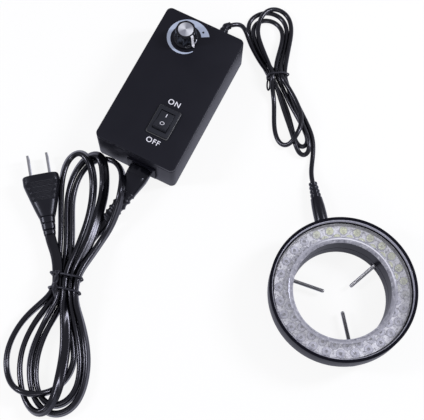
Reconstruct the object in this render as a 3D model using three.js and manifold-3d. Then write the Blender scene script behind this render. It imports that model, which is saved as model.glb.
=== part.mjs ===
// Microscope ring light: a 56-lamp ring head, its dimmer box and the two cords between them.
// Millimetres, +Z up. The ring head lies on its mounting collar with its lamps facing up.
import * as THREE from 'three';
import { mergeVertices } from 'three/addons/utils/BufferGeometryUtils.js';
import Module from 'manifold-3d';

const wasm = await Module();
wasm.setup();

// Driving dimensions shared by the whole part
const clearance = 0.3;
const overrun = 1.5;
const fullTurn = Math.PI * 2;
const quarterTurn = Math.PI / 2;
const roundSides = 48;
const smallSides = 12;
const cornerSteps = 4;
const softCorner = 3 / 4;
const squareCorner = 1 / 2;

// Ring head
const ringOuterDiameter = 93.8;
const ringWidth = 15.6;
const boreDiameter = ringOuterDiameter - ringWidth * 2;
const trayDepth = 18;
const trayFloor = 2.4;
const trayRimWidth = 2;
const trayBoreWall = 1.1;
const trayFootRound = 3;
const trayRimRound = 0.8;
const trayFootSteps = 3;
const trayRimSteps = 2;
const collarDepth = 9.7;
const collarWall = 7.2;
const collarEdge = 0.8;
const coverInset = 3.7;
const coverThickness = 1.2;
const coverBevelDrop = 2.6;
const coverBevelWidth = 2.4;
const boardThickness = 1.6;
const boardStandoff = 0.9;

// Lamps
const lampsPerRow = 28;
const lampSides = 6;
const lampDiameter = 5;
const lampHeight = 8.2;
const lampDomeShare = 0.7;
const outerRowInset = 6.9;
const innerRowInset = 11.8;
const outerRowRadius = ringOuterDiameter / 2 - outerRowInset;
const innerRowRadius = ringOuterDiameter / 2 - innerRowInset;

// Thumbscrews
const screwCount = 3;
const firstScrewAngle = THREE.MathUtils.degToRad(44);
const screwDiameter = 2.5;
const screwTipRadius = 10;
const screwTipRound = 0.9;
const screwHeight = 5;
const screwHeadDiameter = 8.4;
const screwHeadLength = 6.4;
const screwHeadGrip = 0.35;
const screwHeadTeeth = 16;
const screwNeckDiameter = 5.6;
const screwNeckLength = 1;
const bushDiameter = 5;

// Low-voltage socket and its plug
const socketAngle = THREE.MathUtils.degToRad(104);
const bossWidth = 13;
const bossInset = 0.9;
const bossReach = ringOuterDiameter / 2 - bossInset;
const socketWidth = 7.2;
const socketDepth = 11;
const barrelDiameter = 5.5;
const barrelBore = 2.6;
const barrelLength = 9.5;
const socketPinDiameter = 1.9;
const socketMouthWall = 1.2;
const plugBodyDiameter = 8.8;
const plugNeckDiameter = 6.8;
const plugBodyLength = 22;
const plugReliefLength = 11;
const plugReliefEndDiameter = 5.2;
const plugReliefRings = 4;
const plugReliefGroove = 0.7;

// Control box
const boxLength = 106;
const boxWidth = 58;
const boxHeight = 30;
const boxCornerRadius = 3.6;
const boxCentreX = -117.8;
const boxCentreY = 129;
const boxTurn = THREE.MathUtils.degToRad(-23.2);
const boxWall = 2.2;
const boxEdge = 0.8;
const lidThickness = 3;
const lidLipDepth = 2;
const lidLipWall = 1.5;
const bossRadius = 3.4;
const screwPilotRadius = 1.1;
const boxScrewHeadRadius = 2.7;
const boxScrewHeadDepth = 2.4;

// Rocker switch
const switchFromSide = 21.6;
const switchFromEnd = 28.2;
const switchX = boxWidth / 2 - switchFromSide;
const switchY = switchFromEnd - boxLength / 2;
const bezelWidth = 14.8;
const bezelLength = 20.6;
const bezelHeight = 1.9;
const bezelEdge = 0.7;
const switchBodyWidth = 12.8;
const switchBodyLength = 18.6;
const switchBodyDepth = 13.5;
const rockerWidth = 9.6;
const rockerRadius = 7;
const rockerMiddleRise = 2;
const rockerEndAngle = THREE.MathUtils.degToRad(27);
const rockerUnderside = 3.6;
const rockerRestTilt = THREE.MathUtils.degToRad(-10.7);
const rockerAxleRadius = 0.9;
const rockerAxleReach = 0.8;
const rockerArcSteps = 4;
const terminalWidth = 4.8;
const terminalThickness = 0.8;
const terminalSpacing = 7;

// Dimmer
const dimmerFromSide = 21.4;
const dimmerFromEnd = 16.6;
const dimmerX = dimmerFromSide - boxWidth / 2;
const dimmerY = boxLength / 2 - dimmerFromEnd;
const potDiameter = 16.4;
const potDepth = 8.6;
const bushNeckDiameter = 6.8;
const bushNeckReach = 4.6;
const nutAcross = 10;
const nutHeight = 2;
const nutSides = 6;
const shaftDiameter = 6;
const shaftFlat = 1.5;
const shaftReach = 9;
const knobBaseDiameter = 16.6;
const knobTopDiameter = 13.6;
const knobHeight = 12.4;
const knobFlutes = 8;
const stepsPerFlute = 4;
const knobFluteDepth = 0.75;
const knobSkirtHeight = 1.6;
const knobShoulder = 0.7;
const knobGap = 0.4;
const knobNutRoomDiameter = 12.2;
const knobNutRoomHeight = 5.4;
const knobCapDiameter = 11.2;
const knobCapThickness = 0.9;
const knobCapRecess = 0.5;
const knobRestAngle = THREE.MathUtils.degToRad(-25);
const pointerWidth = 1.1;
const pointerRise = 0.25;
const pointerDepth = 1;

// Mains inlet, its connector and the strain relief behind it
const inletFromSide = 23.4;
const inletX = boxWidth / 2 - inletFromSide;
const inletHeight = 12;
const inletWidth = 17.6;
const inletDepth = 15.5;
const inletTallness = 11.6;
const inletWall = 1.4;
const inletFlange = 1.6;
const inletFlangeThickness = 1.2;
const noseWidth = 14.2;
const noseTallness = 8;
const noseLength = 12;
const inletPinDiameter = 2.4;
const inletPinSpacing = 8.6;
const inletPinLength = 9;
const connectorLength = 21;
const connectorWidth = 15.6;
const connectorTallness = 10.4;
const connectorTailWidth = 10.6;
const connectorTailTallness = 7.6;
const connectorWaistShares = [0, 0, 0.5, 1];
const reliefEndWidth = 8.2;
const reliefEndTallness = 5;
const reliefRibs = 6;
const reliefRibHeight = 0.7;
const reliefSideShare = 0.5;
const connectorReliefEnd = new THREE.Vector3(-155.3, 41.6, 3);

// Mains plug
const mainsPlugTail = new THREE.Vector3(-190.2, 28.4, 7.2);
const mainsPlugTurn = THREE.MathUtils.degToRad(15);
const mainsPlugWidth = 21.6;
const mainsPlugTailWidth = 12.6;
const mainsPlugTallness = 13.6;
const mainsPlugTailTallness = 10;
const mainsPlugLength = 28;
const mainsPlugReliefLength = 13;
const mainsPlugReliefWidth = 8.4;
const mainsPlugReliefEndWidth = 7.4;
const mainsPlugReliefEndTallness = 5.6;
const mainsPlugFlare = 1.3;
const mainsPlugGrips = 8;
const mainsPlugGripDepth = 0.45;
const mainsPlugGripShares = { start: 0.25, end: 0.9 };
const mainsPlugPlainSteps = 4;
const mainsPlugReliefSteps = 6;
const bladeWidth = 6.3;
const bladeThickness = 1.5;
const bladeLength = 15.5;
const bladeSpacing = 12.7;
const bladeHoleRadius = 1.6;
const bladeSeat = 6;

// Cords
const mainsCordWidth = 7;
const mainsCordThickness = 3.5;
const lampCordDiameter = 3.2;
const tieThickness = 0.9;
const tieWidth = 1.6;
const tieLift = tieThickness + clearance;
const layerGap = 0.7;
const mainsTieSpacing = 9.2;
const tieKnotRadius = 0.9;
const tieKnotCross = THREE.MathUtils.degToRad(14);
const tieCornerSteps = 2;
const tieTailSides = 6;
const tieTailRadius = 5;
const tieTailNarrowing = 0.3;
const tieTailLean = THREE.MathUtils.degToRad(30);
const loopSteps = 24;
const hankSides = 6;
const freeSides = 8;
const leastOwnGap = 0.4;

// Inner parts of the box
const circuitEndRoom = 17;
const circuitSideRoom = 6;
const circuitLength = boxLength - circuitEndRoom * 2;
const circuitY = 6;
const circuitWidth = boxWidth - circuitSideRoom * 2;
const circuitThickness = 1.6;
const circuitHeight = 6;
const partsHeight = circuitHeight + circuitThickness + clearance;
const terminalRoom = 1.8;
const transformerRoom = 4.1;
const heatsinkRoom = 5.1;
const terminalLength = boxHeight - switchBodyDepth - clearance - partsHeight - terminalRoom;
const transformerHeight = boxHeight - lidThickness - partsHeight - transformerRoom;
const heatsinkHeight = boxHeight - lidThickness - partsHeight - heatsinkRoom;
const postRadius = 2.6;
const transformerLength = 20;
const transformerSideRoom = 29;
const transformerWidth = circuitWidth - transformerSideRoom;
const transformerCoreShares = { length: 0.5, height: 0.8 };
const capacitorDiameter = 10;
const capacitorLength = 15;
const heatsinkLength = 22;
const heatsinkThickness = 1.8;
const heatsinkFins = 5;
const heatsinkFinReach = 4;

// Gland of the lamp lead
const glandFromSide = 19.5;
const glandX = boxWidth / 2 - glandFromSide;
const glandHeight = 15;
const glandBodyDiameter = 8.6;
const glandEndDiameter = 5.2;
const glandLength = 10;
const glandNeckDiameter = 6.4;
const glandFlangeThickness = 1.6;
const glandInnerDiameter = 9.4;

// Plain helpers
function outward(geometry) {
  // Turns a closed mesh right side out by the sign of its volume.
  const place = geometry.getAttribute('position');
  const order = geometry.getIndex();
  const a = new THREE.Vector3();
  const b = new THREE.Vector3();
  const c = new THREE.Vector3();
  let volume = 0;
  for (let i = 0; i < order.count; i += 3) {
    a.fromBufferAttribute(place, order.getX(i));
    b.fromBufferAttribute(place, order.getX(i + 1));
    c.fromBufferAttribute(place, order.getX(i + 2));
    volume += a.dot(b.cross(c));
  }
  if (volume < 0) {
    for (let i = 0; i < order.count; i += 3) {
      const kept = order.getX(i + 1);
      order.setX(i + 1, order.getX(i + 2));
      order.setX(i + 2, kept);
    }
  }
  return geometry;
}

function clean(geometry) {
  geometry.deleteAttribute('normal');
  geometry.deleteAttribute('uv');
  return outward(mergeVertices(geometry));
}

function solid(geometry) {
  const merged = clean(geometry.clone());
  return new wasm.Manifold(new wasm.Mesh({
    numProp: 3,
    vertProperties: new Float32Array(merged.getAttribute('position').array),
    triVerts: new Uint32Array(merged.getIndex().array),
  }));
}

function geometryOf(body) {
  const mesh = body.getMesh();
  const geometry = new THREE.BufferGeometry();
  geometry.setAttribute('position', new THREE.BufferAttribute(mesh.vertProperties, 3));
  geometry.setIndex(new THREE.BufferAttribute(mesh.triVerts, 1));
  return geometry;
}

function cut(base, ...tools) {
  let body = solid(base);
  for (const tool of tools) {
    body = body.subtract(solid(tool));
  }
  return geometryOf(body);
}

function join(base, ...others) {
  let body = solid(base);
  for (const other of others) {
    body = body.add(solid(other));
  }
  return geometryOf(body);
}

function revolve(profile, segments = roundSides) {
  // Turns a closed profile of [radius, height] pairs about the Z axis.
  const points = profile.map(([radius, height]) => new THREE.Vector2(radius, height));
  const closed = profile[0][0] > 0 || profile[profile.length - 1][0] > 0;
  if (closed) {
    points.push(points[0].clone());
  }
  const geometry = new THREE.LatheGeometry(points, segments);
  geometry.rotateX(quarterTurn);
  return clean(geometry);
}

function rod(radius, length, segments = smallSides) {
  // A cylinder that stands on z = 0.
  const geometry = new THREE.CylinderGeometry(radius, radius, length, segments);
  geometry.rotateX(quarterTurn);
  geometry.translate(0, 0, length / 2);
  return clean(geometry);
}

function block(sizeX, sizeY, sizeZ) {
  // A box that stands on z = 0, centred in plan.
  const geometry = new THREE.BoxGeometry(sizeX, sizeY, sizeZ);
  geometry.translate(0, 0, sizeZ / 2);
  return clean(geometry);
}

function roundedRectangle(width, length, radius, target = new THREE.Shape()) {
  const x = width / 2;
  const y = length / 2;
  target.moveTo(x, -y + radius);
  target.lineTo(x, y - radius);
  target.absarc(x - radius, y - radius, radius, 0, quarterTurn);
  target.lineTo(-x + radius, y);
  target.absarc(-x + radius, y - radius, radius, quarterTurn, quarterTurn * 2);
  target.lineTo(-x, -y + radius);
  target.absarc(-x + radius, -y + radius, radius, quarterTurn * 2, quarterTurn * 3);
  target.lineTo(x - radius, -y);
  target.absarc(x - radius, -y + radius, radius, quarterTurn * 3, fullTurn);
  return target;
}

function plate(width, length, radius, height, curveSegments = cornerSteps) {
  const shape = roundedRectangle(width, length, radius);
  return clean(new THREE.ExtrudeGeometry(shape, { depth: height, bevelEnabled: false, curveSegments }));
}

function loft(rings) {
  // Joins rings of equally many points into one closed skin, with flat fans at both ends.
  const count = rings[0].length;
  const positions = [];
  for (const ring of rings) {
    for (const point of ring) {
      positions.push(point.x, point.y, point.z);
    }
  }
  const middles = [rings[0], rings[rings.length - 1]].map((ring) => {
    const middle = ring.reduce((sum, point) => sum.add(point), new THREE.Vector3());
    return middle.divideScalar(count);
  });
  for (const middle of middles) {
    positions.push(middle.x, middle.y, middle.z);
  }
  const first = rings.length * count;
  const faces = [];
  for (let k = 0; k < count; k += 1) {
    const next = (k + 1) % count;
    for (let r = 0; r < rings.length - 1; r += 1) {
      const here = r * count;
      const there = here + count;
      faces.push(here + k, here + next, there + next, here + k, there + next, there + k);
    }
    const last = (rings.length - 1) * count;
    faces.push(first, next, k, first + 1, last + k, last + next);
  }
  const geometry = new THREE.BufferGeometry();
  geometry.setAttribute('position', new THREE.Float32BufferAttribute(positions, 3));
  geometry.setIndex(faces);
  return outward(geometry);
}

function ovalRing(centre, across, upward, halfWidth, halfTallness, corner = 1, points = smallSides) {
  // A section between an ellipse (corner 1) and a rectangle (corner near 0).
  const ring = [];
  for (let k = 0; k < points; k += 1) {
    const angle = (k + 1 / 2) * fullTurn / points;
    const x = Math.sign(Math.cos(angle)) * Math.abs(Math.cos(angle)) ** corner;
    const y = Math.sign(Math.sin(angle)) * Math.abs(Math.sin(angle)) ** corner;
    const point = centre.clone();
    point.addScaledVector(across, x * halfWidth);
    point.addScaledVector(upward, y * halfTallness);
    ring.push(point);
  }
  return ring;
}

const up = new THREE.Vector3(0, 0, 1);

function frameAlong(points, i) {
  const before = points[Math.max(i - 1, 0)];
  const after = points[Math.min(i + 1, points.length - 1)];
  const along = after.clone().sub(before).normalize();
  const across = along.clone().cross(up).normalize();
  const upward = across.clone().cross(along);
  return { along, across, upward };
}

function sweep(points, section, rollAt = () => 0) {
  // Carries a section of [width, thickness] pairs along the points; roll 0 lays the width flat.
  const rings = points.map((point, i) => {
    const { across, upward } = frameAlong(points, i);
    const roll = rollAt(i / (points.length - 1));
    return section.map(([width, thickness]) => {
      const side = width * Math.cos(roll) - thickness * Math.sin(roll);
      const rise = width * Math.sin(roll) + thickness * Math.cos(roll);
      return point.clone().addScaledVector(across, side).addScaledVector(upward, rise);
    });
  });
  return loft(rings);
}

function roundSection(diameter, sides) {
  return Array.from({ length: sides }, (unused, k) => {
    const angle = (k + 1 / 2) * fullTurn / sides;
    return [Math.cos(angle) * diameter / 2, Math.sin(angle) * diameter / 2];
  });
}

// The twin mains cord has two round cores side by side, so its section is a long oval.
const twinShoulder = (mainsCordWidth - mainsCordThickness * 3 / 4) / 2;
const twinSection = [
  [mainsCordWidth / 2, 0],
  [twinShoulder, mainsCordThickness / 2],
  [-twinShoulder, mainsCordThickness / 2],
  [-mainsCordWidth / 2, 0],
  [-twinShoulder, -mainsCordThickness / 2],
  [twinShoulder, -mainsCordThickness / 2],
];

function material(color, roughness, metalness = 0, opacity = 1) {
  return new THREE.MeshStandardMaterial({
    color, roughness, metalness, opacity, transparent: opacity < 1,
  });
}

const blackPlastic = material(0x1c1c20, 0.5);
const glossyBlack = material(0x121215, 0.25);
const softBlack = material(0x17171a, 0.45);
const clearPlastic = material(0xd4d6e2, 0.15, 0, 0.4);
const boardWhite = material(0xc8c9d2, 0.4);
const boardGreen = material(0x2c5b38, 0.6);
const steel = material(0x77777a, 0.35, 1);
const darkSteel = material(0x4a4a4c, 0.4, 1);
const brass = material(0xb59a55, 0.35, 1);
const spunAluminium = material(0xc9c9cd, 0.3, 1);
const tapeYellow = material(0xc9a93a, 0.5);

const part = new THREE.Group();
const ringHead = new THREE.Group();
const controlBox = new THREE.Group();
controlBox.position.set(boxCentreX, boxCentreY, 0);
controlBox.rotation.z = boxTurn;
const cords = new THREE.Group();
part.add(ringHead, controlBox, cords);
const cordNames = new Set();

function place(group, name, geometry, finish) {
  const mesh = new THREE.Mesh(geometry, finish);
  mesh.name = name;
  group.add(mesh);
  if (group === cords) {
    cordNames.add(name);
  }
  return mesh;
}

// Ring head
const ringRadius = ringOuterDiameter / 2;
const boreRadius = boreDiameter / 2;
const trayBottom = collarDepth + clearance;
const ringTop = trayBottom + trayDepth;
const floorTop = trayBottom + trayFloor;
const boreWallRadius = boreRadius + trayBoreWall;
const rimInnerRadius = ringRadius - trayRimWidth;
const coverTop = ringTop - coverInset;
const boreWallTop = coverTop - coverBevelDrop - clearance;
const collarRadius = boreRadius + collarWall;
const boardBottom = floorTop + boardStandoff;
const boardTop = boardBottom + boardThickness;
const socketDirection = new THREE.Vector3(Math.cos(socketAngle), Math.sin(socketAngle), 0);

function arcPoints(centreR, centreZ, radius, from, to, steps) {
  return Array.from({ length: steps + 1 }, (unused, k) => {
    const angle = from + (to - from) * k / steps;
    return [centreR + Math.cos(angle) * radius, centreZ + Math.sin(angle) * radius];
  });
}

function trayHousing() {
  const foot = arcPoints(ringRadius - trayFootRound, trayBottom + trayFootRound, trayFootRound,
    -quarterTurn, 0, trayFootSteps);
  const rim = arcPoints(ringRadius - trayRimRound, ringTop - trayRimRound, trayRimRound,
    0, quarterTurn, trayRimSteps);
  return revolve([
    [boreRadius, trayBottom],
    ...foot,
    ...rim,
    [rimInnerRadius, ringTop],
    [rimInnerRadius, floorTop],
    [boreWallRadius, floorTop],
    [boreWallRadius, boreWallTop],
    [boreRadius, boreWallTop],
  ]);
}

function radial(geometry, angle, height) {
  // Lays a part that points along +X out from the ring's axis at an angle and a height.
  const laid = geometry.clone();
  laid.rotateZ(angle);
  laid.translate(0, 0, height);
  return laid;
}

function alongX(geometry, start) {
  // Turns a part that stands on z = 0 to run along +X from a start radius.
  const laid = geometry.clone();
  laid.rotateY(quarterTurn);
  laid.translate(start, 0, 0);
  return laid;
}

const screwAngles = Array.from({ length: screwCount }, (unused, i) => (
  firstScrewAngle + i * fullTurn / screwCount));
const bushHoleRadius = bushDiameter / 2 + clearance;
const socketHeight = collarDepth / 2;
const socketOuter = bossReach - socketMouthWall;

function mountingCollar() {
  const ring = revolve([
    [boreRadius, 0],
    [collarRadius - collarEdge, 0],
    [collarRadius, collarEdge],
    [collarRadius, collarDepth],
    [boreRadius, collarDepth],
  ]);
  const bossStart = boreRadius + collarWall / 2;
  const bossSlab = block(bossReach - bossStart, bossWidth, collarDepth);
  bossSlab.translate((bossReach + bossStart) / 2, 0, 0);
  bossSlab.rotateZ(socketAngle);
  const room = alongX(block(socketWidth + clearance * 2, socketWidth + clearance * 2,
    socketDepth + clearance * 2), socketOuter - socketDepth - clearance);
  room.translate(0, 0, socketHeight);
  room.rotateZ(socketAngle);
  const mouth = radial(alongX(rod(barrelDiameter / 2 + clearance * 2, bossReach), clearance + bossStart),
    socketAngle, socketHeight);
  const bushHoles = screwAngles.map((angle) => radial(
    alongX(rod(bushHoleRadius, collarRadius), boreRadius - overrun), angle, screwHeight));
  return cut(join(ring, bossSlab), room, mouth, ...bushHoles);
}

function lampCover() {
  const bevelTop = boreWallRadius + coverBevelWidth - trayBoreWall;
  const under = coverTop - coverThickness;
  return revolve([
    [rimInnerRadius - clearance, coverTop],
    [bevelTop, coverTop],
    [boreRadius, coverTop - coverBevelDrop],
    [boreWallRadius + clearance, coverTop - coverBevelDrop],
    [bevelTop + coverThickness / 2, under],
    [rimInnerRadius - clearance, under],
  ]);
}

function lampBoard() {
  return revolve([
    [boreWallRadius + clearance, boardBottom],
    [rimInnerRadius - clearance, boardBottom],
    [rimInnerRadius - clearance, boardTop],
    [boreWallRadius + clearance, boardTop],
  ]);
}

function lampRow(radius, shift) {
  // Each lamp stands with its foot in the board that feeds it.
  const lampRadius = lampDiameter / 2;
  const bottom = boardTop - boardThickness / 2;
  const domeStart = lampHeight - lampRadius * lampDomeShare;
  const rows = [];
  for (let i = 0; i < lampsPerRow; i += 1) {
    const lamp = revolve([
      [0, 0],
      [lampRadius, 0],
      [lampRadius, domeStart],
      [0, lampHeight],
    ], lampSides);
    const angle = (i + shift) * fullTurn / lampsPerRow;
    lamp.translate(Math.cos(angle) * radius, Math.sin(angle) * radius, bottom);
    rows.push(lamp);
  }
  return rows;
}

function thumbscrew() {
  // Along +X: rounded tip, shank through the bush, neck and knurled head outside the collar.
  const shankRadius = screwDiameter / 2;
  const headStart = collarRadius + clearance * 2;
  const shank = revolve([
    [0, 0],
    [shankRadius - screwTipRound, 0],
    [shankRadius, screwTipRound],
    [shankRadius, headStart - screwTipRadius + screwNeckLength],
    [0, headStart - screwTipRadius + screwNeckLength],
  ], smallSides);
  const neck = rod(screwNeckDiameter / 2, screwNeckLength + screwHeadGrip);
  const outline = new THREE.Shape();
  for (let k = 0; k < screwHeadTeeth * 2; k += 1) {
    const angle = k * fullTurn / screwHeadTeeth / 2;
    const radius = screwHeadDiameter / 2 - (k % 2) * screwHeadGrip;
    const draw = k === 0 ? 'moveTo' : 'lineTo';
    outline[draw](Math.cos(angle) * radius, Math.sin(angle) * radius);
  }
  outline.closePath();
  const head = clean(new THREE.ExtrudeGeometry(outline, {
    depth: screwHeadLength - screwHeadGrip * 2,
    bevelEnabled: true,
    bevelThickness: screwHeadGrip,
    bevelSize: screwHeadGrip,
    bevelOffset: -screwHeadGrip,
    bevelSegments: 1,
  }));
  head.translate(0, 0, headStart + screwNeckLength + screwHeadGrip);
  shank.translate(0, 0, screwTipRadius);
  neck.translate(0, 0, headStart);
  return alongX(join(shank, neck, head), 0);
}

function threadedBush() {
  return alongX(cut(
    rod(bushDiameter / 2, collarWall - clearance * 2),
    drill(screwDiameter / 2 + clearance, collarWall),
  ), boreRadius + clearance);
}

function drill(radius, length, segments = smallSides) {
  // A cutter that stands out past both ends of what it cuts.
  const tool = rod(radius, length + overrun * 2, segments);
  tool.translate(0, 0, -overrun);
  return tool;
}

function lampSocket() {
  const shell = block(socketWidth, socketWidth, socketDepth);
  const bore = rod(barrelDiameter / 2 + clearance, socketDepth);
  bore.translate(0, 0, socketDepth - barrelLength + socketMouthWall);
  const pin = rod(socketPinDiameter / 2, socketDepth - overrun);
  return alongX(join(cut(shell, bore), pin), socketOuter - socketDepth);
}

place(ringHead, 'ring_tray_housing', trayHousing(), blackPlastic);
place(ringHead, 'mounting_collar', mountingCollar(), blackPlastic);
place(ringHead, 'lamp_cover', lampCover(), clearPlastic);
const allLamps = [...lampRow(outerRowRadius, 0), ...lampRow(innerRowRadius, 1 / 2)];
place(ringHead, 'lamp_board', join(lampBoard(), ...allLamps), boardWhite);
place(ringHead, 'lamp_socket', radial(lampSocket(), socketAngle, socketHeight), steel);
screwAngles.forEach((angle, i) => {
  place(ringHead, `thumbscrew_${i + 1}`, radial(thumbscrew(), angle, screwHeight), darkSteel);
  place(ringHead, `threaded_bush_${i + 1}`, radial(threadedBush(), angle, screwHeight), brass);
});

// Control box: tray, lid and what they hold
const lidBottom = boxHeight - lidThickness;
const trayTop = lidBottom - clearance;
const innerWidth = boxWidth - boxWall * 2;
const innerLength = boxLength - boxWall * 2;
const innerCorner = boxCornerRadius - boxWall;
const bossX = innerWidth / 2 - bossRadius;
const bossY = innerLength / 2 - bossRadius;
const corners = [[1, 1], [-1, 1], [-1, -1], [1, -1]];
const circuitPostX = circuitWidth / 2 - postRadius;
const circuitPostY = circuitLength / 2 - postRadius * 2;

function bevelledPlate(width, length, radius, height, edge, bothSides) {
  const shape = roundedRectangle(width, length, radius);
  const levels = bothSides ? 2 : 1;
  const geometry = clean(new THREE.ExtrudeGeometry(shape, {
    depth: height - edge * 2,
    bevelEnabled: true,
    bevelThickness: edge,
    bevelSize: edge,
    bevelOffset: -edge,
    bevelSegments: levels,
    curveSegments: cornerSteps,
  }));
  geometry.translate(0, 0, edge);
  return geometry;
}

function boxTray() {
  // The tray's bottom edge is rounded; its top edge is square, so the blank is made taller and cut.
  const blank = bevelledPlate(boxWidth, boxLength, boxCornerRadius, boxHeight, boxEdge, false);
  const above = block(boxWidth * 2, boxLength * 2, boxHeight);
  above.translate(0, 0, trayTop);
  const room = plate(innerWidth, innerLength, innerCorner, boxHeight);
  room.translate(0, 0, boxWall);
  const bosses = corners.map(([sideX, sideY]) => {
    const boss = rod(bossRadius + boxWall / 2, trayTop - lidLipDepth - clearance);
    boss.translate(sideX * bossX, sideY * bossY, 0);
    return boss;
  });
  const pilots = corners.map(([sideX, sideY]) => {
    const hole = drill(screwPilotRadius + clearance, trayTop);
    hole.translate(sideX * bossX, sideY * bossY, 0);
    return hole;
  });
  const sinks = corners.map(([sideX, sideY]) => {
    const sink = rod(boxScrewHeadRadius + clearance, boxScrewHeadDepth + clearance + overrun);
    sink.translate(sideX * bossX, sideY * bossY, -overrun);
    return sink;
  });
  const inletHole = block(inletWidth + clearance * 2, boxWall + overrun * 2, inletTallness + clearance * 2);
  inletHole.translate(inletX, -boxLength / 2 + boxWall / 2, inletHeight - inletTallness / 2 - clearance);
  const glandHole = drill(glandNeckDiameter / 2 + clearance, boxWall);
  glandHole.rotateX(-quarterTurn);
  glandHole.translate(glandX, boxLength / 2 - boxWall, glandHeight);
  const posts = corners.map(([sideX, sideY]) => {
    const post = rod(postRadius, circuitHeight - clearance - boxWall / 2);
    post.translate(sideX * circuitPostX, circuitY + sideY * circuitPostY, boxWall / 2);
    return post;
  });
  const shell = cut(blank, above, room);
  return cut(join(shell, ...bosses, ...posts), ...pilots, ...sinks, inletHole, glandHole);
}

function boxLid() {
  const slab = bevelledPlate(boxWidth, boxLength, boxCornerRadius, lidThickness, boxEdge, true);
  slab.translate(0, 0, lidBottom);
  const lipWidth = innerWidth - clearance * 2;
  const lipLength = innerLength - clearance * 2;
  const lipHeight = lidLipDepth + boxEdge;
  const lipOuter = plate(lipWidth, lipLength, innerCorner, lipHeight);
  const lipInner = plate(lipWidth - lidLipWall * 2, lipLength - lidLipWall * 2, innerCorner,
    lipHeight + overrun * 2);
  lipInner.translate(0, 0, -overrun);
  const lip = cut(lipOuter, lipInner);
  lip.translate(0, 0, lidBottom - lidLipDepth);
  const switchHole = block(switchBodyWidth + clearance * 2, switchBodyLength + clearance * 2,
    boxHeight);
  switchHole.translate(switchX, switchY, lidBottom - overrun - lidLipDepth);
  const dimmerHole = drill(bushNeckDiameter / 2 + clearance, lidThickness);
  dimmerHole.translate(dimmerX, dimmerY, lidBottom);
  return cut(join(slab, lip), switchHole, dimmerHole);
}

function boxScrew() {
  const head = rod(boxScrewHeadRadius, boxScrewHeadDepth);
  const shank = rod(screwPilotRadius, trayTop - lidLipDepth - clearance * 2);
  return join(head, shank);
}

place(controlBox, 'box_tray', boxTray(), blackPlastic);
place(controlBox, 'box_lid', boxLid(), blackPlastic);
corners.forEach(([sideX, sideY], i) => {
  const screw = place(controlBox, `box_screw_${i + 1}`, boxScrew(), darkSteel);
  screw.position.set(sideX * bossX, sideY * bossY, clearance);
});

// Rocker switch: a bezel and body in the lid, a rocker on two stub axles, and two blade terminals
const pivotHeight = boxHeight;
const rockerRoomLength = rockerRadius * 2 + clearance * 2;
const rockerRoomWidth = rockerWidth + clearance * 2;

function switchBody() {
  const bezel = bevelledPlate(bezelWidth, bezelLength, bezelEdge * 2, bezelHeight, bezelEdge / 2, false);
  bezel.translate(0, 0, boxHeight + clearance);
  const bodyTop = boxHeight + bezelHeight / 2 + clearance;
  const body = block(switchBodyWidth, switchBodyLength, bodyTop - (boxHeight - switchBodyDepth));
  body.translate(0, 0, boxHeight - switchBodyDepth);
  const roomDepth = rockerUnderside + clearance * 2;
  const room = block(rockerRoomWidth, rockerRoomLength, roomDepth + boxHeight);
  room.translate(0, 0, pivotHeight - roomDepth - rockerAxleRadius);
  const axleHole = rod(rockerAxleRadius + clearance, rockerWidth + rockerAxleReach * 2 + clearance * 2);
  axleHole.translate(0, 0, -rockerWidth / 2 - rockerAxleReach - clearance);
  axleHole.rotateY(quarterTurn);
  axleHole.translate(0, 0, pivotHeight);
  return cut(join(bezel, body), room, axleHole);
}

function rocker() {
  // Side profile about the pivot: a round belly under two faces that meet in a shallow valley.
  const profile = new THREE.Shape();
  const endY = Math.cos(rockerEndAngle) * rockerRadius;
  const endZ = Math.sin(rockerEndAngle) * rockerRadius;
  const lowAngle = -Math.asin(rockerUnderside / rockerRadius);
  profile.moveTo(0, rockerMiddleRise);
  profile.lineTo(-endY, endZ);
  profile.absarc(0, 0, rockerRadius, Math.PI - rockerEndAngle, Math.PI - lowAngle);
  profile.absarc(0, 0, rockerRadius, lowAngle, rockerEndAngle);
  profile.closePath();
  const paddle = clean(new THREE.ExtrudeGeometry(profile, {
    depth: rockerWidth, bevelEnabled: false, curveSegments: rockerArcSteps,
  }));
  paddle.translate(0, 0, -rockerWidth / 2);
  const axle = rod(rockerAxleRadius, rockerWidth + rockerAxleReach * 2);
  axle.translate(0, 0, -rockerWidth / 2 - rockerAxleReach);
  const whole = join(paddle, axle);
  // The profile's own x and y become the box's y and z.
  whole.rotateY(quarterTurn);
  whole.rotateX(quarterTurn);
  return whole;
}


const switchGroup = new THREE.Group();
switchGroup.position.set(switchX, switchY, 0);
controlBox.add(switchGroup);
place(switchGroup, 'switch_body', switchBody(), blackPlastic);
[-1, 1].forEach((side, i) => {
  const blade = block(terminalWidth, terminalThickness, terminalLength);
  const terminal = place(switchGroup, `switch_terminal_${i + 1}`, blade, brass);
  const terminalBottom = boxHeight - switchBodyDepth - clearance - terminalLength;
  terminal.position.set(0, side * terminalSpacing / 2, terminalBottom);
});
const rockerMesh = place(switchGroup, 'switch_rocker', rocker(), glossyBlack);
rockerMesh.position.z = pivotHeight;
rockerMesh.rotation.x = rockerRestTilt;

// Dimmer: potentiometer under the lid, nut on top, shaft, fluted knob and its metal cap
function potentiometer() {
  const can = rod(potDiameter / 2, potDepth, smallSides * 2);
  can.translate(0, 0, -potDepth);
  const neck = rod(bushNeckDiameter / 2, lidThickness + bushNeckReach, smallSides);
  const shaftHole = rod(shaftDiameter / 2 + clearance, lidThickness + bushNeckReach + overrun);
  return cut(join(can, neck), shaftHole);
}

function hexNut() {
  const outer = rod(nutAcross / 2 / Math.cos(Math.PI / nutSides), nutHeight, nutSides);
  return cut(outer, drill(bushNeckDiameter / 2 + clearance, nutHeight));
}

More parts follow.
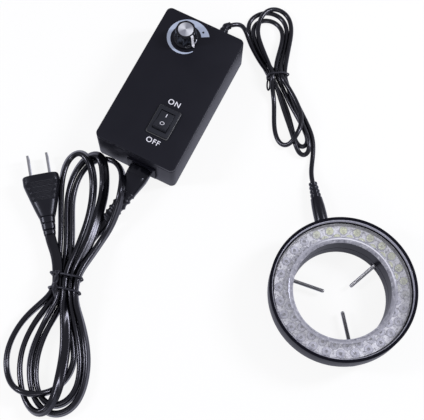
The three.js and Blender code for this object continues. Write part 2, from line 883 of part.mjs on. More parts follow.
function shaft() {
  const round = rod(shaftDiameter / 2, knobHeight - knobCapRecess - overrun - clearance);
  const flat = block(shaftDiameter, shaftDiameter, shaftReach);
  flat.translate(0, shaftDiameter - shaftFlat, shaftReach / 2);
  return cut(round, flat);
}

function fluteDip(angle, depth) {
  // Wide scallops between narrow ridges, one ridge under the pointer.
  const wave = (1 - Math.cos(angle * knobFlutes)) / 2;
  return depth * wave;
}

function knob() {
  const steps = knobFlutes * stepsPerFlute;
  const baseRadius = knobBaseDiameter / 2;
  const topRadius = knobTopDiameter / 2;
  const flutesStart = knobSkirtHeight + knobShoulder;
  const levels = [
    { height: 0, radius: baseRadius, dip: 0 },
    { height: knobSkirtHeight, radius: baseRadius, dip: 0 },
    { height: flutesStart, radius: baseRadius - knobShoulder, dip: knobFluteDepth },
    { height: knobHeight - knobShoulder, radius: topRadius, dip: knobFluteDepth },
    { height: knobHeight, radius: topRadius - knobShoulder, dip: 0 },
  ];
  const rings = levels.map(({ height, radius, dip }) => Array.from({ length: steps }, (unused, k) => {
    const angle = k * fullTurn / steps;
    const reach = radius - fluteDip(angle, dip);
    return new THREE.Vector3(Math.cos(angle) * reach, Math.sin(angle) * reach, height);
  }));
  const nutRoom = rod(knobNutRoomDiameter / 2, knobNutRoomHeight + overrun);
  nutRoom.translate(0, 0, -overrun);
  const shaftRoom = rod(shaftDiameter / 2 + clearance, knobHeight - knobCapRecess - overrun + clearance);
  shaftRoom.translate(0, 0, -clearance);
  const capSeat = rod(knobCapDiameter / 2 + clearance, knobCapRecess + overrun, smallSides * 2);
  capSeat.translate(0, 0, knobHeight - knobCapRecess);
  const pointerLength = knobHeight - flutesStart;
  const slope = Math.atan2(baseRadius - knobShoulder - topRadius, pointerLength);
  const pointer = block(pointerDepth, pointerWidth, pointerLength);
  pointer.translate(-pointerRise, 0, 0);
  pointer.rotateY(-slope);
  pointer.translate(baseRadius - knobShoulder, 0, knobSkirtHeight + knobShoulder / 2);
  return cut(join(loft(rings), pointer), nutRoom, shaftRoom, capSeat);
}

function knobCap() {
  const cap = revolve([
    [0, 0],
    [knobCapDiameter / 2, 0],
    [knobCapDiameter / 2, knobCapThickness / 2],
    [knobCapDiameter / 2 - knobCapThickness / 2, knobCapThickness],
    [0, knobCapThickness],
  ], smallSides * 2);
  cap.translate(0, 0, knobHeight - knobCapRecess + clearance);
  return cap;
}

const dimmer = new THREE.Group();
dimmer.position.set(dimmerX, dimmerY, 0);
controlBox.add(dimmer);
const pot = place(dimmer, 'dimmer_potentiometer', potentiometer(), steel);
pot.position.z = lidBottom - clearance;
const nut = place(dimmer, 'dimmer_nut', hexNut(), steel);
nut.position.z = boxHeight + clearance;
const turning = new THREE.Group();
turning.position.z = boxHeight + knobGap;
turning.rotation.z = knobRestAngle;
dimmer.add(turning);
place(turning, 'dimmer_knob', knob(), blackPlastic);
place(turning, 'dimmer_knob_cap', knobCap(), spunAluminium);
place(turning, 'dimmer_shaft', shaft(), steel);

// Mains inlet in the near end wall: a shroud with two pins, and the connector pushed into it
const endWall = -boxLength / 2;

function stadium(width, tallness, depth) {
  // A rounded slot shape that runs along +Y from y = 0.
  const shape = roundedRectangle(width, tallness, tallness / 2 - clearance / 2);
  const geometry = clean(new THREE.ExtrudeGeometry(shape, {
    depth, bevelEnabled: false, curveSegments: cornerSteps,
  }));
  geometry.rotateX(-quarterTurn);
  return geometry;
}

function mainsInlet() {
  const shroud = block(inletWidth, inletDepth, inletTallness);
  shroud.translate(0, inletDepth / 2, -inletTallness / 2);
  const flange = block(inletWidth + inletFlange * 2, inletFlangeThickness, inletTallness + inletFlange * 2);
  flange.translate(0, -clearance - inletFlangeThickness / 2, -inletTallness / 2 - inletFlange);
  const neck = block(inletWidth, clearance * 2 + inletFlangeThickness, inletTallness);
  neck.translate(0, 0, -inletTallness / 2);
  const slot = stadium(noseWidth + clearance * 2, noseTallness + clearance * 2, noseLength + overrun * 2);
  slot.translate(0, clearance - overrun * 2, 0);
  const pinHoles = [-1, 1].map((side) => {
    const hole = rod(inletPinDiameter / 2 + clearance, inletDepth + overrun);
    hole.rotateX(-quarterTurn);
    hole.translate(side * inletPinSpacing / 2, 0, 0);
    return hole;
  });
  return cut(join(shroud, flange, neck), slot, ...pinHoles);
}

function inletPin() {
  const pin = rod(inletPinDiameter / 2, inletPinLength + inletWall);
  pin.rotateX(-quarterTurn);
  return pin;
}

const inlet = new THREE.Group();
inlet.position.set(inletX, endWall, inletHeight);
controlBox.add(inlet);
place(inlet, 'mains_inlet', mainsInlet(), blackPlastic);
[-1, 1].forEach((side, i) => {
  const pin = place(inlet, `mains_inlet_pin_${i + 1}`, inletPin(), steel);
  pin.position.set(side * inletPinSpacing / 2, inletDepth - inletPinLength - inletWall, 0);
});

function lampLeadGland() {
  // Along +Y: a flange inside the wall, a neck through it and a tapered sleeve outside.
  const inside = -boxWall - clearance - glandFlangeThickness;
  const sleeve = revolve([
    [0, inside],
    [glandInnerDiameter / 2, inside],
    [glandInnerDiameter / 2, inside + glandFlangeThickness],
    [glandNeckDiameter / 2, inside + glandFlangeThickness],
    [glandNeckDiameter / 2, clearance],
    [glandBodyDiameter / 2, clearance],
    [glandBodyDiameter / 2, clearance + glandLength / 4],
    [glandEndDiameter / 2, glandLength],
    [0, glandLength],
  ], smallSides);
  sleeve.rotateX(-quarterTurn);
  return sleeve;
}

const gland = place(controlBox, 'lamp_lead_gland', lampLeadGland(), softBlack);
gland.position.set(glandX, boxLength / 2, glandHeight);

// Circuit inside the box
function circuitBoard() {
  const slab = block(circuitWidth, circuitLength, circuitThickness);
  const holes = corners.map(([sideX, sideY]) => {
    const hole = drill(screwPilotRadius, circuitThickness);
    hole.translate(sideX * circuitPostX, sideY * circuitPostY, 0);
    return hole;
  });
  return cut(slab, ...holes);
}

function transformer() {
  const winding = block(transformerWidth - overrun * 2, transformerLength,
    transformerHeight * transformerCoreShares.height);
  const core = block(transformerWidth, transformerLength * transformerCoreShares.length, transformerHeight);
  return join(winding, core);
}

function capacitor() {
  const can = rod(capacitorDiameter / 2, capacitorLength);
  can.rotateX(-quarterTurn);
  can.translate(0, -capacitorLength / 2, capacitorDiameter / 2);
  return can;
}

function heatsink() {
  const back = block(heatsinkThickness, heatsinkLength, heatsinkHeight);
  const spacing = (heatsinkLength - heatsinkThickness) / (heatsinkFins - 1);
  const fins = Array.from({ length: heatsinkFins }, (unused, k) => {
    const fin = block(heatsinkFinReach + heatsinkThickness / 2, heatsinkThickness, heatsinkHeight);
    const y = (heatsinkThickness - heatsinkLength) / 2 + k * spacing;
    fin.translate((heatsinkFinReach + heatsinkThickness / 2) / 2, y, 0);
    return fin;
  });
  return join(back, ...fins);
}

const board = place(controlBox, 'circuit_board', circuitBoard(), boardGreen);
board.position.set(0, circuitY, circuitHeight);
const coil = place(controlBox, 'transformer', transformer(), tapeYellow);
coil.position.set(-circuitWidth / 4, circuitY - circuitLength / 4, partsHeight);
const can = place(controlBox, 'bulk_capacitor', capacitor(), glossyBlack);
can.position.set(-circuitWidth / 4, circuitY + circuitLength / 8, partsHeight);
const sink = place(controlBox, 'heatsink', heatsink(), spunAluminium);
sink.position.set(circuitWidth / 4, circuitY, partsHeight);

controlBox.updateMatrixWorld(true);

function boxPoint(x, y, z) {
  return controlBox.localToWorld(new THREE.Vector3(x, y, z));
}

// Connector and strain relief of the mains lead
const connectorTail = boxPoint(inletX, endWall - connectorLength, inletHeight);
const boxAlong = boxPoint(0, 1, 0).sub(boxPoint(0, 0, 0));

function mainsConnector() {
  const seat = inletFlangeThickness + clearance * 2;
  const nose = stadium(noseWidth, noseTallness, noseLength + seat + overrun);
  nose.translate(0, -seat - overrun, 0);
  const holes = [-1, 1].map((side) => {
    const hole = rod(inletPinDiameter / 2 + clearance, inletPinLength + overrun);
    hole.rotateX(-quarterTurn);
    hole.translate(side * inletPinSpacing / 2, inletDepth - inletPinLength - inletWall - clearance, 0);
    return hole;
  });
  const across = new THREE.Vector3(1, 0, 0);
  const stations = connectorWaistShares.map((waistShare, k) => ({
    reach: k / (connectorWaistShares.length - 1), waistShare,
  }));
  const bodyLength = connectorLength - seat;
  const rings = stations.map(({ reach, waistShare }) => ovalRing(
    new THREE.Vector3(0, -seat - reach * bodyLength, 0), across, up,
    THREE.MathUtils.lerp(connectorWidth, connectorTailWidth, waistShare) / 2,
    THREE.MathUtils.lerp(connectorTallness, connectorTailTallness, waistShare) / 2, squareCorner));
  return cut(join(loft(rings), nose), ...holes);
}

const connector = new THREE.Group();
connector.position.copy(boxPoint(inletX, endWall, inletHeight));
connector.rotation.z = boxTurn;
cords.add(connector);
place(connector, 'mains_connector', mainsConnector(), softBlack);

function curveThrough(points, count) {
  return new THREE.CatmullRomCurve3(points, false, 'centripetal').getSpacedPoints(count);
}

function ribbedSleeve(path, start, end, ribHeight, shallow) {
  // A tapering sleeve whose sections swell and shrink in turn, with plain collars at both ends.
  const count = path.length - 1;
  const rings = path.map((point, i) => {
    const { across, upward } = frameAlong(path, i);
    const share = i / count;
    const inRibs = i > 0 && i < count;
    const swell = inRibs && i % 2 === 0 ? ribHeight : 0;
    const width = THREE.MathUtils.lerp(start.width, end.width, share) / 2;
    const tallness = THREE.MathUtils.lerp(start.tallness, end.tallness, share) / 2;
    const dip = ribHeight - swell;
    return ovalRing(point, across, upward, width - dip, tallness - dip * shallow, softCorner);
  });
  return loft(rings);
}

const reliefStart = connectorTail.clone().addScaledVector(boxAlong, -clearance);
const reliefMiddle = reliefStart.clone().lerp(connectorReliefEnd, 1 / 2);
reliefMiddle.addScaledVector(boxAlong, -overrun).setZ((inletHeight + connectorReliefEnd.z) / 2);
const reliefWay = connectorReliefEnd.clone().sub(reliefMiddle).setZ(0).normalize();
const reliefPath = [reliefStart, ...curveThrough([
  reliefStart.clone().addScaledVector(boxAlong, -overrun),
  reliefStart.clone().addScaledVector(boxAlong, -overrun * 2),
  reliefMiddle,
  connectorReliefEnd.clone().addScaledVector(reliefWay, -overrun),
], reliefRibs * 2 - 1), connectorReliefEnd];
place(cords, 'connector_strain_relief', ribbedSleeve(
  reliefPath,
  { width: connectorTailWidth, tallness: connectorTailTallness },
  { width: reliefEndWidth, tallness: reliefEndTallness },
  reliefRibHeight,
  reliefSideShare,
), softBlack);

// Mains plug: ribbed sleeve, moulded body with grip ridges and two flat blades
const plugAlong = new THREE.Vector3(-Math.sin(mainsPlugTurn), Math.cos(mainsPlugTurn), 0);
const plugAcross = new THREE.Vector3(Math.cos(mainsPlugTurn), Math.sin(mainsPlugTurn), 0);

function plugPoint(distance) {
  return mainsPlugTail.clone().addScaledVector(plugAlong, distance);
}

const plugFront = mainsPlugReliefLength + mainsPlugLength;

function mainsPlugBody() {
  const sleeve = Array.from({ length: mainsPlugReliefSteps + 1 }, (unused, k) => {
    const share = k / mainsPlugReliefSteps;
    const groove = k % 2 === 1 ? plugReliefGroove : 0;
    const width = THREE.MathUtils.lerp(mainsPlugReliefEndWidth, mainsPlugReliefWidth, share);
    const tallness = THREE.MathUtils.lerp(mainsPlugReliefEndTallness, mainsPlugReliefWidth, share);
    return ovalRing(plugPoint(share * mainsPlugReliefLength), plugAcross, up,
      width / 2 - groove, (tallness - groove) / 2, softCorner);
  });
  const body = [];
  const stations = mainsPlugGrips * 2 + mainsPlugPlainSteps;
  for (let k = 0; k <= stations; k += 1) {
    const share = k / stations;
    const flare = Math.sin(Math.min(share * mainsPlugFlare, 1) * quarterTurn);
    const ribbed = share > mainsPlugGripShares.start && share < mainsPlugGripShares.end;
    const grip = ribbed && k % 2 === 0 ? mainsPlugGripDepth : 0;
    const width = THREE.MathUtils.lerp(mainsPlugTailWidth, mainsPlugWidth, flare);
    const tallness = THREE.MathUtils.lerp(mainsPlugTailTallness, mainsPlugTallness, flare);
    body.push(ovalRing(plugPoint(mainsPlugReliefLength + share * mainsPlugLength), plugAcross, up,
      width / 2, tallness / 2 - grip, squareCorner));
  }
  const sockets = [-1, 1].map((side) => {
    const slotLength = bladeSeat + clearance + overrun;
    const slot = block(bladeThickness + clearance * 2, slotLength, bladeWidth + clearance * 2);
    slot.translate(0, 0, -bladeWidth / 2 - clearance);
    slot.rotateZ(mainsPlugTurn);
    const middle = plugPoint(plugFront - bladeSeat / 2 - clearance / 2 + overrun / 2);
    middle.addScaledVector(plugAcross, side * bladeSpacing / 2);
    slot.translate(middle.x, middle.y, middle.z);
    return slot;
  });
  return cut(loft([...sleeve, ...body]), ...sockets);
}

function plugBlade(side) {
  const blade = block(bladeThickness, bladeLength + bladeSeat, bladeWidth);
  const hole = drill(bladeHoleRadius, bladeThickness);
  hole.rotateY(quarterTurn);
  hole.translate(-bladeThickness / 2, bladeLength / 2, bladeWidth / 2);
  const pierced = cut(blade, hole);
  pierced.translate(0, 0, -bladeWidth / 2);
  pierced.rotateZ(mainsPlugTurn);
  const middle = plugPoint(plugFront + (bladeLength - bladeSeat) / 2);
  middle.addScaledVector(plugAcross, side * bladeSpacing / 2);
  pierced.translate(middle.x, middle.y, middle.z);
  return pierced;
}

place(cords, 'mains_plug_body', mainsPlugBody(), softBlack);
[-1, 1].forEach((side, i) => {
  place(cords, `mains_plug_blade_${i + 1}`, plugBlade(side), brass);
});

// Low-voltage plug in the ring's socket
const plugShoulder = bossReach + clearance;

function lowVoltagePlug() {
  const profile = [[0, 0], [plugBodyDiameter / 2 - trayRimRound, 0], [plugBodyDiameter / 2, trayRimRound]];
  profile.push([plugBodyDiameter / 2, plugBodyLength / 2]);
  profile.push([plugNeckDiameter / 2, plugBodyLength]);
  for (let k = 1; k <= plugReliefRings; k += 1) {
    const share = k / plugReliefRings;
    const radius = THREE.MathUtils.lerp(plugNeckDiameter, plugReliefEndDiameter, share) / 2;
    const start = plugBodyLength + (k - 1) * plugReliefLength / plugReliefRings;
    const pitch = plugReliefLength / plugReliefRings;
    profile.push([radius - plugReliefGroove / 2, start + pitch / 4]);
    profile.push([radius - plugReliefGroove / 2, start + pitch / 2]);
    profile.push([radius, start + pitch * 3 / 4]);
    profile.push([radius, start + pitch]);
  }
  profile.push([0, plugBodyLength + plugReliefLength]);
  const barrelRoom = rod(barrelDiameter / 2 + clearance, overrun + clearance);
  barrelRoom.translate(0, 0, -clearance);
  return alongX(cut(revolve(profile, smallSides), barrelRoom), plugShoulder);
}

function plugBarrel() {
  const tube = rod(barrelDiameter / 2, barrelLength + overrun);
  const bore = rod(barrelBore / 2, barrelLength + overrun);
  bore.translate(0, 0, -overrun);
  return alongX(cut(tube, bore), plugShoulder - barrelLength);
}

const plugHeight = Math.max(socketHeight, plugBodyDiameter / 2);
place(cords, 'lamp_plug_body', radial(lowVoltagePlug(), socketAngle, plugHeight), softBlack);
place(cords, 'lamp_plug_barrel', radial(plugBarrel(), socketAngle, plugHeight), steel);

// Hanks: loops that run up and down through a waist, spiral in, change layer, and spiral out again
function hankPath(hank) {
  const points = [];
  const turns = (hank.end - hank.start) / fullTurn;
  const count = Math.round(turns * loopSteps);
  for (let i = 0; i <= count; i += 1) {
    points.push(hankPoint(hank, hank.start + (hank.end - hank.start) * i / count));
  }
  const first = points[0].clone().sub(hankPoint(hank, hank.start + hank.smallStep)).normalize();
  const last = points[count].clone().sub(hankPoint(hank, hank.end - hank.smallStep)).normalize();
  points.unshift(points[0].clone().addScaledVector(first.setZ(0).normalize(), hank.width));
  points.push(points[count + 1].clone().addScaledVector(last.setZ(0).normalize(), hank.width));
  return points;
}

// A lobe is widest where sine times cosine squared is greatest.
const widestSine = Math.sqrt(1 / 3);
const widestShare = widestSine * (1 - widestSine ** 2);

function hankPoint(hank, angle) {
  // Angle 0 is the upper tip; the run down passes the waist at a quarter turn, on the left.
  const upper = Math.cos(angle) > 0 ? 1 : 0;
  const spiral = Math.abs(angle - hank.middle) / fullTurn;
  const layer = THREE.MathUtils.smoothstep(angle, hank.middle - hank.climb, hank.middle + hank.climb);
  const level = THREE.MathUtils.lerp(hank.startLayer, 1 - hank.startLayer, layer);
  const reach = (upper ? hank.upperReach : hank.lowerReach) + spiral * hank.tipStep;
  const lobe = (upper ? hank.upperLobe : hank.lowerLobe) + spiral * hank.lobeStep;
  const waist = hank.waist + spiral * hank.waistStep;
  const bulge = (lobe - waist * widestSine) / widestShare;
  const away = Math.cos(angle) ** 2;
  const lean = upper
    ? THREE.MathUtils.lerp(hank.upperLeanLow, hank.upperLeanHigh, level)
    : THREE.MathUtils.lerp(hank.lowerLeanLow, hank.lowerLeanHigh, level);
  const across = -Math.sin(angle) * (waist + bulge * away) + lean * away;
  const along = Math.cos(angle) * reach * (1 + hank.tipRoundShare * Math.sin(angle) ** 2);
  const nearTie = Math.exp(-((along / hank.tieReach) ** 2));
  // One strand may ride over a piece that lies under the hank.
  const overPiece = hank.crossLift * Math.exp(-(((angle - hank.crossAngle) / hank.crossSpread) ** 2));
  const height = hank.tallness / 2 + level * hank.layerStep + hank.tieLift * nearTie + overPiece;
  return new THREE.Vector3(
    hank.tieX + across * Math.cos(hank.turn) - along * Math.sin(hank.turn),
    hank.tieY + across * Math.sin(hank.turn) + along * Math.cos(hank.turn),
    height,
  );
}

function ownGap(name, points, section, roll, width) {
  // Least distance from any corner line of the cord to any other, leaving out its own next steps.
  const lines = section.map(([a, b]) => points.map((point, i) => {
    const { across, upward } = frameAlong(points, i);
    const side = a * Math.cos(roll) - b * Math.sin(roll);
    const rise = a * Math.sin(roll) + b * Math.cos(roll);
    return point.clone().addScaledVector(across, side).addScaledVector(upward, rise);
  }));
  const skip = 4;
  const probes = 4;
  const near = width * 6;
  let least = Infinity;
  const segment = new THREE.Line3();
  const nearest = new THREE.Vector3();
  const probe = new THREE.Vector3();
  for (let i = 0; i < points.length - 1; i += 1) {
    for (let j = i + skip; j < points.length - 1; j += 1) {
      if (points[i].distanceTo(points[j]) > near) {
        continue;
      }
      for (const line of lines) {
        for (const other of lines) {
          segment.set(other[j], other[j + 1]);
          for (let k = 0; k < probes; k += 1) {
            probe.lerpVectors(line[i], line[i + 1], k / probes);
            segment.closestPointToPoint(probe, true, nearest);
            least = Math.min(least, probe.distanceTo(nearest));
          }
        }
      }
    }
  }
  console.log(`${name}: least gap to itself ${least.toFixed(2)} mm, asked ${leastOwnGap} mm`);
  return least;
}

const mainsHank = {
  tieX: -176.5,
  tieY: -4,
  turn: THREE.MathUtils.degToRad(-4.8),
  start: fullTurn / 4,
  middle: fullTurn * 9 / 4,
  end: fullTurn * 15 / 4,
  climb: fullTurn / 10,
  smallStep: fullTurn / 360,
  startLayer: 1,
  upperReach: 82,
  lowerReach: 74,
  tipStep: 4.6,
  tipRoundShare: 0.14,
  upperLobe: 10,
  lowerLobe: 10,
  lobeStep: 5.2,
  waist: 2.4,
  waistStep: 4.3,
  upperLeanHigh: 3.5,
  upperLeanLow: -0.5,
  lowerLeanHigh: -5,
  lowerLeanLow: 6,
  width: mainsCordWidth,
  tallness: mainsCordWidth,
  thickness: mainsCordThickness,
  layerStep: mainsCordWidth + layerGap,
  tieReach: 24,
  tieLift,
  crossLift: 4.5,
  crossAngle: fullTurn * 0.8525,
  crossSpread: fullTurn * 0.06,
};

const lampHank = {
  tieX: -45.7,
  tieY: 154,
  turn: THREE.MathUtils.degToRad(18),
  start: fullTurn * 3 / 4,
  middle: fullTurn * 9 / 4,
  end: fullTurn * 4.05,
  climb: fullTurn / 10,
  smallStep: fullTurn / 360,
  startLayer: 0,
  upperReach: 46,
  lowerReach: 54,
  tipStep: 4.3,
  tipRoundShare: 0.12,
  upperLobe: 8.5,
  lowerLobe: 5.2,
  lobeStep: 4.5,
  waist: 1.3,
  waistStep: 4,
  upperLeanHigh: 3,
  upperLeanLow: 3,
  lowerLeanHigh: -3.4,
  lowerLeanLow: -0.8,
  width: lampCordDiameter,
  tallness: lampCordDiameter,
  thickness: lampCordDiameter,
  layerStep: lampCordDiameter + layerGap,
  tieReach: 16,
  tieLift,
  crossLift: 0,
  crossAngle: 0,
  crossSpread: fullTurn,
};

const onEdge = quarterTurn;
const mainsPath = hankPath(mainsHank);
const lampPath = hankPath(lampHank);
const hankSection = roundSection(lampCordDiameter, hankSides);
ownGap('mains hank', mainsPath, twinSection, onEdge, mainsCordWidth);
ownGap('lamp hank', lampPath, hankSection, 0, lampCordDiameter);
place(cords, 'mains_lead_hank', sweep(mainsPath, twinSection, () => onEdge), glossyBlack);
place(cords, 'lamp_lead_hank', sweep(lampPath, hankSection), glossyBlack);

// Ties: thin bands round each bundle at its waist
function inHank(hank, point) {
  // Across and along the hank, seen from its tie.
  const x = point.x - hank.tieX;
  const y = point.y - hank.tieY;
  const c = Math.cos(hank.turn);
  const t = Math.sin(hank.turn);
  return { across: x * c + y * t, along: y * c - x * t };
}

function crossings(hank, path, line) {
  // Where the cord's centre line crosses a line square to the hank.
  const found = [];
  for (let i = 0; i < path.length - 1; i += 1) {
    const here = inHank(hank, path[i]);
    const there = inHank(hank, path[i + 1]);
    if ((here.along - line) * (there.along - line) < 0) {
      const share = (line - here.along) / (there.along - here.along);
      found.push(THREE.MathUtils.lerp(here.across, there.across, share));
    }
  }
  return found;
}

function tieBand(hank, path, shift) {
  const edges = [shift - tieWidth, shift + tieWidth];
  const sides = edges.flatMap((line) => crossings(hank, path, line));
  const margin = hank.thickness / 2 + clearance;
  const left = Math.min(...sides) - margin;
  const right = Math.max(...sides) + margin;
  const innerTop = tieLift + hank.tallness + hank.layerStep + clearance * 2;
  const innerTallness = innerTop - tieThickness;
  const middleX = (left + right) / 2;
  const wide = right - left;
  const outer = roundedRectangle(wide + tieThickness * 2, innerTallness + tieThickness * 2, tieThickness * 2);
  const inner = roundedRectangle(wide, innerTallness, tieThickness, new THREE.Path());
  outer.holes.push(inner);
  const band = clean(new THREE.ExtrudeGeometry(outer, {
    depth: tieWidth, bevelEnabled: false, curveSegments: tieCornerSteps,
  }));
  band.translate(middleX, tieThickness + innerTallness / 2, -tieWidth / 2);
  band.rotateX(quarterTurn);
  band.translate(0, shift, 0);
  return { band, top: innerTop + tieThickness, left: left - tieThickness, middleX };
}

function laidOnHank(hank, geometry) {
  const laid = geometry.clone();
  laid.rotateZ(hank.turn);
  laid.translate(hank.tieX, hank.tieY, 0);
  return laid;
}

function mainsTie() {
  // Two turns of coated wire, joined by the twisted ends on top.
  const [first, second] = [1, -1].map((side) => tieBand(mainsHank, mainsPath, side * mainsTieSpacing / 2));
  const knots = [-1, 1].map((side) => {
    const strand = rod(tieKnotRadius, mainsTieSpacing + tieWidth, freeSides);
    strand.translate(0, 0, -(mainsTieSpacing + tieWidth) / 2);
    strand.rotateX(quarterTurn);
    strand.rotateZ(side * tieKnotCross);
    strand.translate(first.middleX - mainsCordWidth, 0, first.top);
    return strand;
  });
  return laidOnHank(mainsHank, join(first.band, second.band, ...knots));
}

function lampTie() {
  // One turn with its spare end bent back into a small loop on the left.
  const { band, left } = tieBand(lampHank, lampPath, 0);
  const bend = new THREE.TorusGeometry(tieTailRadius, tieThickness * 2 / 3, tieTailSides, smallSides);
  bend.scale(tieTailNarrowing, 1, 1);
  bend.translate(0, -tieTailRadius, 0);
  bend.rotateZ(-tieTailLean);
  bend.translate(left, 0, tieThickness * 3);
  return laidOnHank(lampHank, join(band, bend));
}

place(cords, 'mains_lead_tie', mainsTie(), softBlack);
place(cords, 'lamp_lead_tie', lampTie(), softBlack);

// Free stretches of both cords, from their hanks to the pieces at their ends
function runOn(point, before, distance) {
  return point.clone().add(point.clone().sub(before).setZ(0).normalize().multiplyScalar(distance));
}

function freeRun(from, fromBefore, via, to, toBefore, count) {
  // Leaves one end straight and meets the other straight, with a small gap at both.
  const start = runOn(from, fromBefore, clearance);
  const finish = runOn(to, toBefore, clearance);
  const middle = curveThrough([
    runOn(from, fromBefore, freeLead / 2),
    runOn(from, fromBefore, freeLead),
    ...via,
    runOn(to, toBefore, freeLead),
    runOn(to, toBefore, freeLead / 2),
  ], count);
  return [start, ...middle, finish];
}

const freeLead = 3.6;
const turnShares = { start: 0.1, end: 0.9 };
const plugRunSteps = 10;
const connectorRunSteps = 12;
const glandRunSteps = 10;
const lampRunSteps = 20;
const twinFreeSection = [
  [mainsCordWidth / 2, mainsCordThickness / 4],
  [twinShoulder, mainsCordThickness / 2],
  [-twinShoulder, mainsCordThickness / 2],
  [-mainsCordWidth / 2, mainsCordThickness / 4],
  [-mainsCordWidth / 2, -mainsCordThickness / 4],
  [-twinShoulder, -mainsCordThickness / 2],
  [twinShoulder, -mainsCordThickness / 2],
  [mainsCordWidth / 2, -mainsCordThickness / 4],
];

function turnFlat(share) {
  return onEdge * (1 - THREE.MathUtils.smoothstep(share, turnShares.start, turnShares.end));
}

const mainsLast = mainsPath.length - 1;
const plugRun = freeRun(mainsPath[0], mainsPath[1], [
  new THREE.Vector3(-188.4, 15.5, 10.4),
], mainsPlugTail, plugPoint(overrun), plugRunSteps);
place(cords, 'mains_lead_plug_run', sweep(plugRun, twinFreeSection, turnFlat), glossyBlack);

const connectorRun = freeRun(mainsPath[mainsLast], mainsPath[mainsLast - 1], [
  new THREE.Vector3(-163, 17.5, 3.7),
  new THREE.Vector3(-158.6, 29, 3.2),
], connectorReliefEnd, reliefPath[reliefPath.length - 2], connectorRunSteps);
place(cords, 'mains_lead_connector_run', sweep(connectorRun, twinFreeSection, turnFlat), glossyBlack);

const freeRoundSection = roundSection(lampCordDiameter, freeSides);
const lampLast = lampPath.length - 1;
const glandEnd = boxPoint(glandX, boxLength / 2 + glandLength, glandHeight);
const glandBefore = boxPoint(glandX, boxLength / 2, glandHeight);
const glandRun = freeRun(lampPath[lampLast], lampPath[lampLast - 1], [],
  glandEnd, glandBefore, glandRunSteps);
place(cords, 'lamp_lead_gland_run', sweep(glandRun, freeRoundSection), glossyBlack);

const lampPlugTail = socketDirection.clone().multiplyScalar(plugShoulder + plugBodyLength + plugReliefLength);
lampPlugTail.z = plugHeight;
const lampPlugBefore = lampPlugTail.clone().addScaledVector(socketDirection, -overrun);
const plugTailRun = freeRun(lampPath[0], lampPath[1], [
  new THREE.Vector3(-29.2, 135.6, 1.8),
  new THREE.Vector3(-25.2, 126.8, 1.6),
  new THREE.Vector3(-21.4, 116.3, 1.6),
  new THREE.Vector3(-19.2, 105.4, 1.6),
  new THREE.Vector3(-19.6, 94.5, 2.4),
], lampPlugTail, lampPlugBefore, lampRunSteps);
place(cords, 'lamp_lead_plug_run', sweep(plugTailRun, freeRoundSection), glossyBlack);

// The origin is under the middle of the ring head and the control box together.
part.updateMatrixWorld(true);
const bounds = new THREE.Box3();
part.traverse((item) => {
  if (item.isMesh && !cordNames.has(item.name) && item.parent !== connector) {
    bounds.expandByObject(item, true);
  }
});
const origin = bounds.getCenter(new THREE.Vector3());
part.position.set(-origin.x, -origin.y, -bounds.min.z);

export default part;
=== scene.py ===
# %% [markdown]
# A microscope ring light, dressed for its portrait. The model that is loaded here holds every piece
# at its real size and place. This lesson gives the pieces their true surfaces: turned rims, moulded
# boxes, fifty-six clear lamps, and two leads wound into hanks.
#
# Everything is in metres. The table top is at height zero and +Z is up.

# %% Load the fixed frame
import math

import bmesh
import bpy
from mathutils import Matrix, Vector
from mathutils.kdtree import KDTree


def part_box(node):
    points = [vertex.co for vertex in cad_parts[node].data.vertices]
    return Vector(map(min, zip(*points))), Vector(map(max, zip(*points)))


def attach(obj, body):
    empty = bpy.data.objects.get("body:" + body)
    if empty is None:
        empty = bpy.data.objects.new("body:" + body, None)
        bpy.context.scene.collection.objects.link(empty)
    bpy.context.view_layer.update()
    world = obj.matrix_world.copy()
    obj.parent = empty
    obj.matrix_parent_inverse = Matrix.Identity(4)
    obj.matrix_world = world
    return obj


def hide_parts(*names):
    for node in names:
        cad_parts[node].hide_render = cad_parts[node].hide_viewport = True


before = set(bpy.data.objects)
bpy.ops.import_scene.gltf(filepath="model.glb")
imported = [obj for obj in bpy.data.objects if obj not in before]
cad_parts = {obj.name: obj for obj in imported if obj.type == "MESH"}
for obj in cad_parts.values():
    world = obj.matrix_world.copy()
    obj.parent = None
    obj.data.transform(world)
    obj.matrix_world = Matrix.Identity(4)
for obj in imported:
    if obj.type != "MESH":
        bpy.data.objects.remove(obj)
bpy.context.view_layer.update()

# %% [markdown]
# Two centres place everything: the axis of the ring, and the middle of the control box, which is
# turned a little on the table. Both are read from the frame, so the looks can't drift away from it.

# %% Centres and directions
mm = 0.001
full_turn = 2 * math.pi
up = Vector((0, 0, 1))
box_turn = math.radians(-23.2)


def middle_on_table(node):
    low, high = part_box(node)
    return (low + high) / 2 * Vector((1, 1, 0))


ring_centre = middle_on_table("ring_tray_housing")
box_centre = middle_on_table("box_tray")
ring_place = Matrix.Translation(ring_centre)
box_place = Matrix.Translation(box_centre) @ Matrix.Rotation(box_turn, 4, "Z")


def from_ring(x, y, z):
    """A point given in millimetres from the ring's axis, as the leads' routes are."""
    return ring_centre + Vector((x, y, z)) * mm


print("ring axis, mm:", [round(side / mm, 2) for side in ring_centre])

# %% [markdown]
# The camera comes first, because the leads must lie where it sees them. A portrait lens stands
# 0.64 m above the table, leans forward by 18 degrees and is rolled by 3.6 degrees. A camera looks
# along its own -Z, so its turn is built from the three directions of the picture.

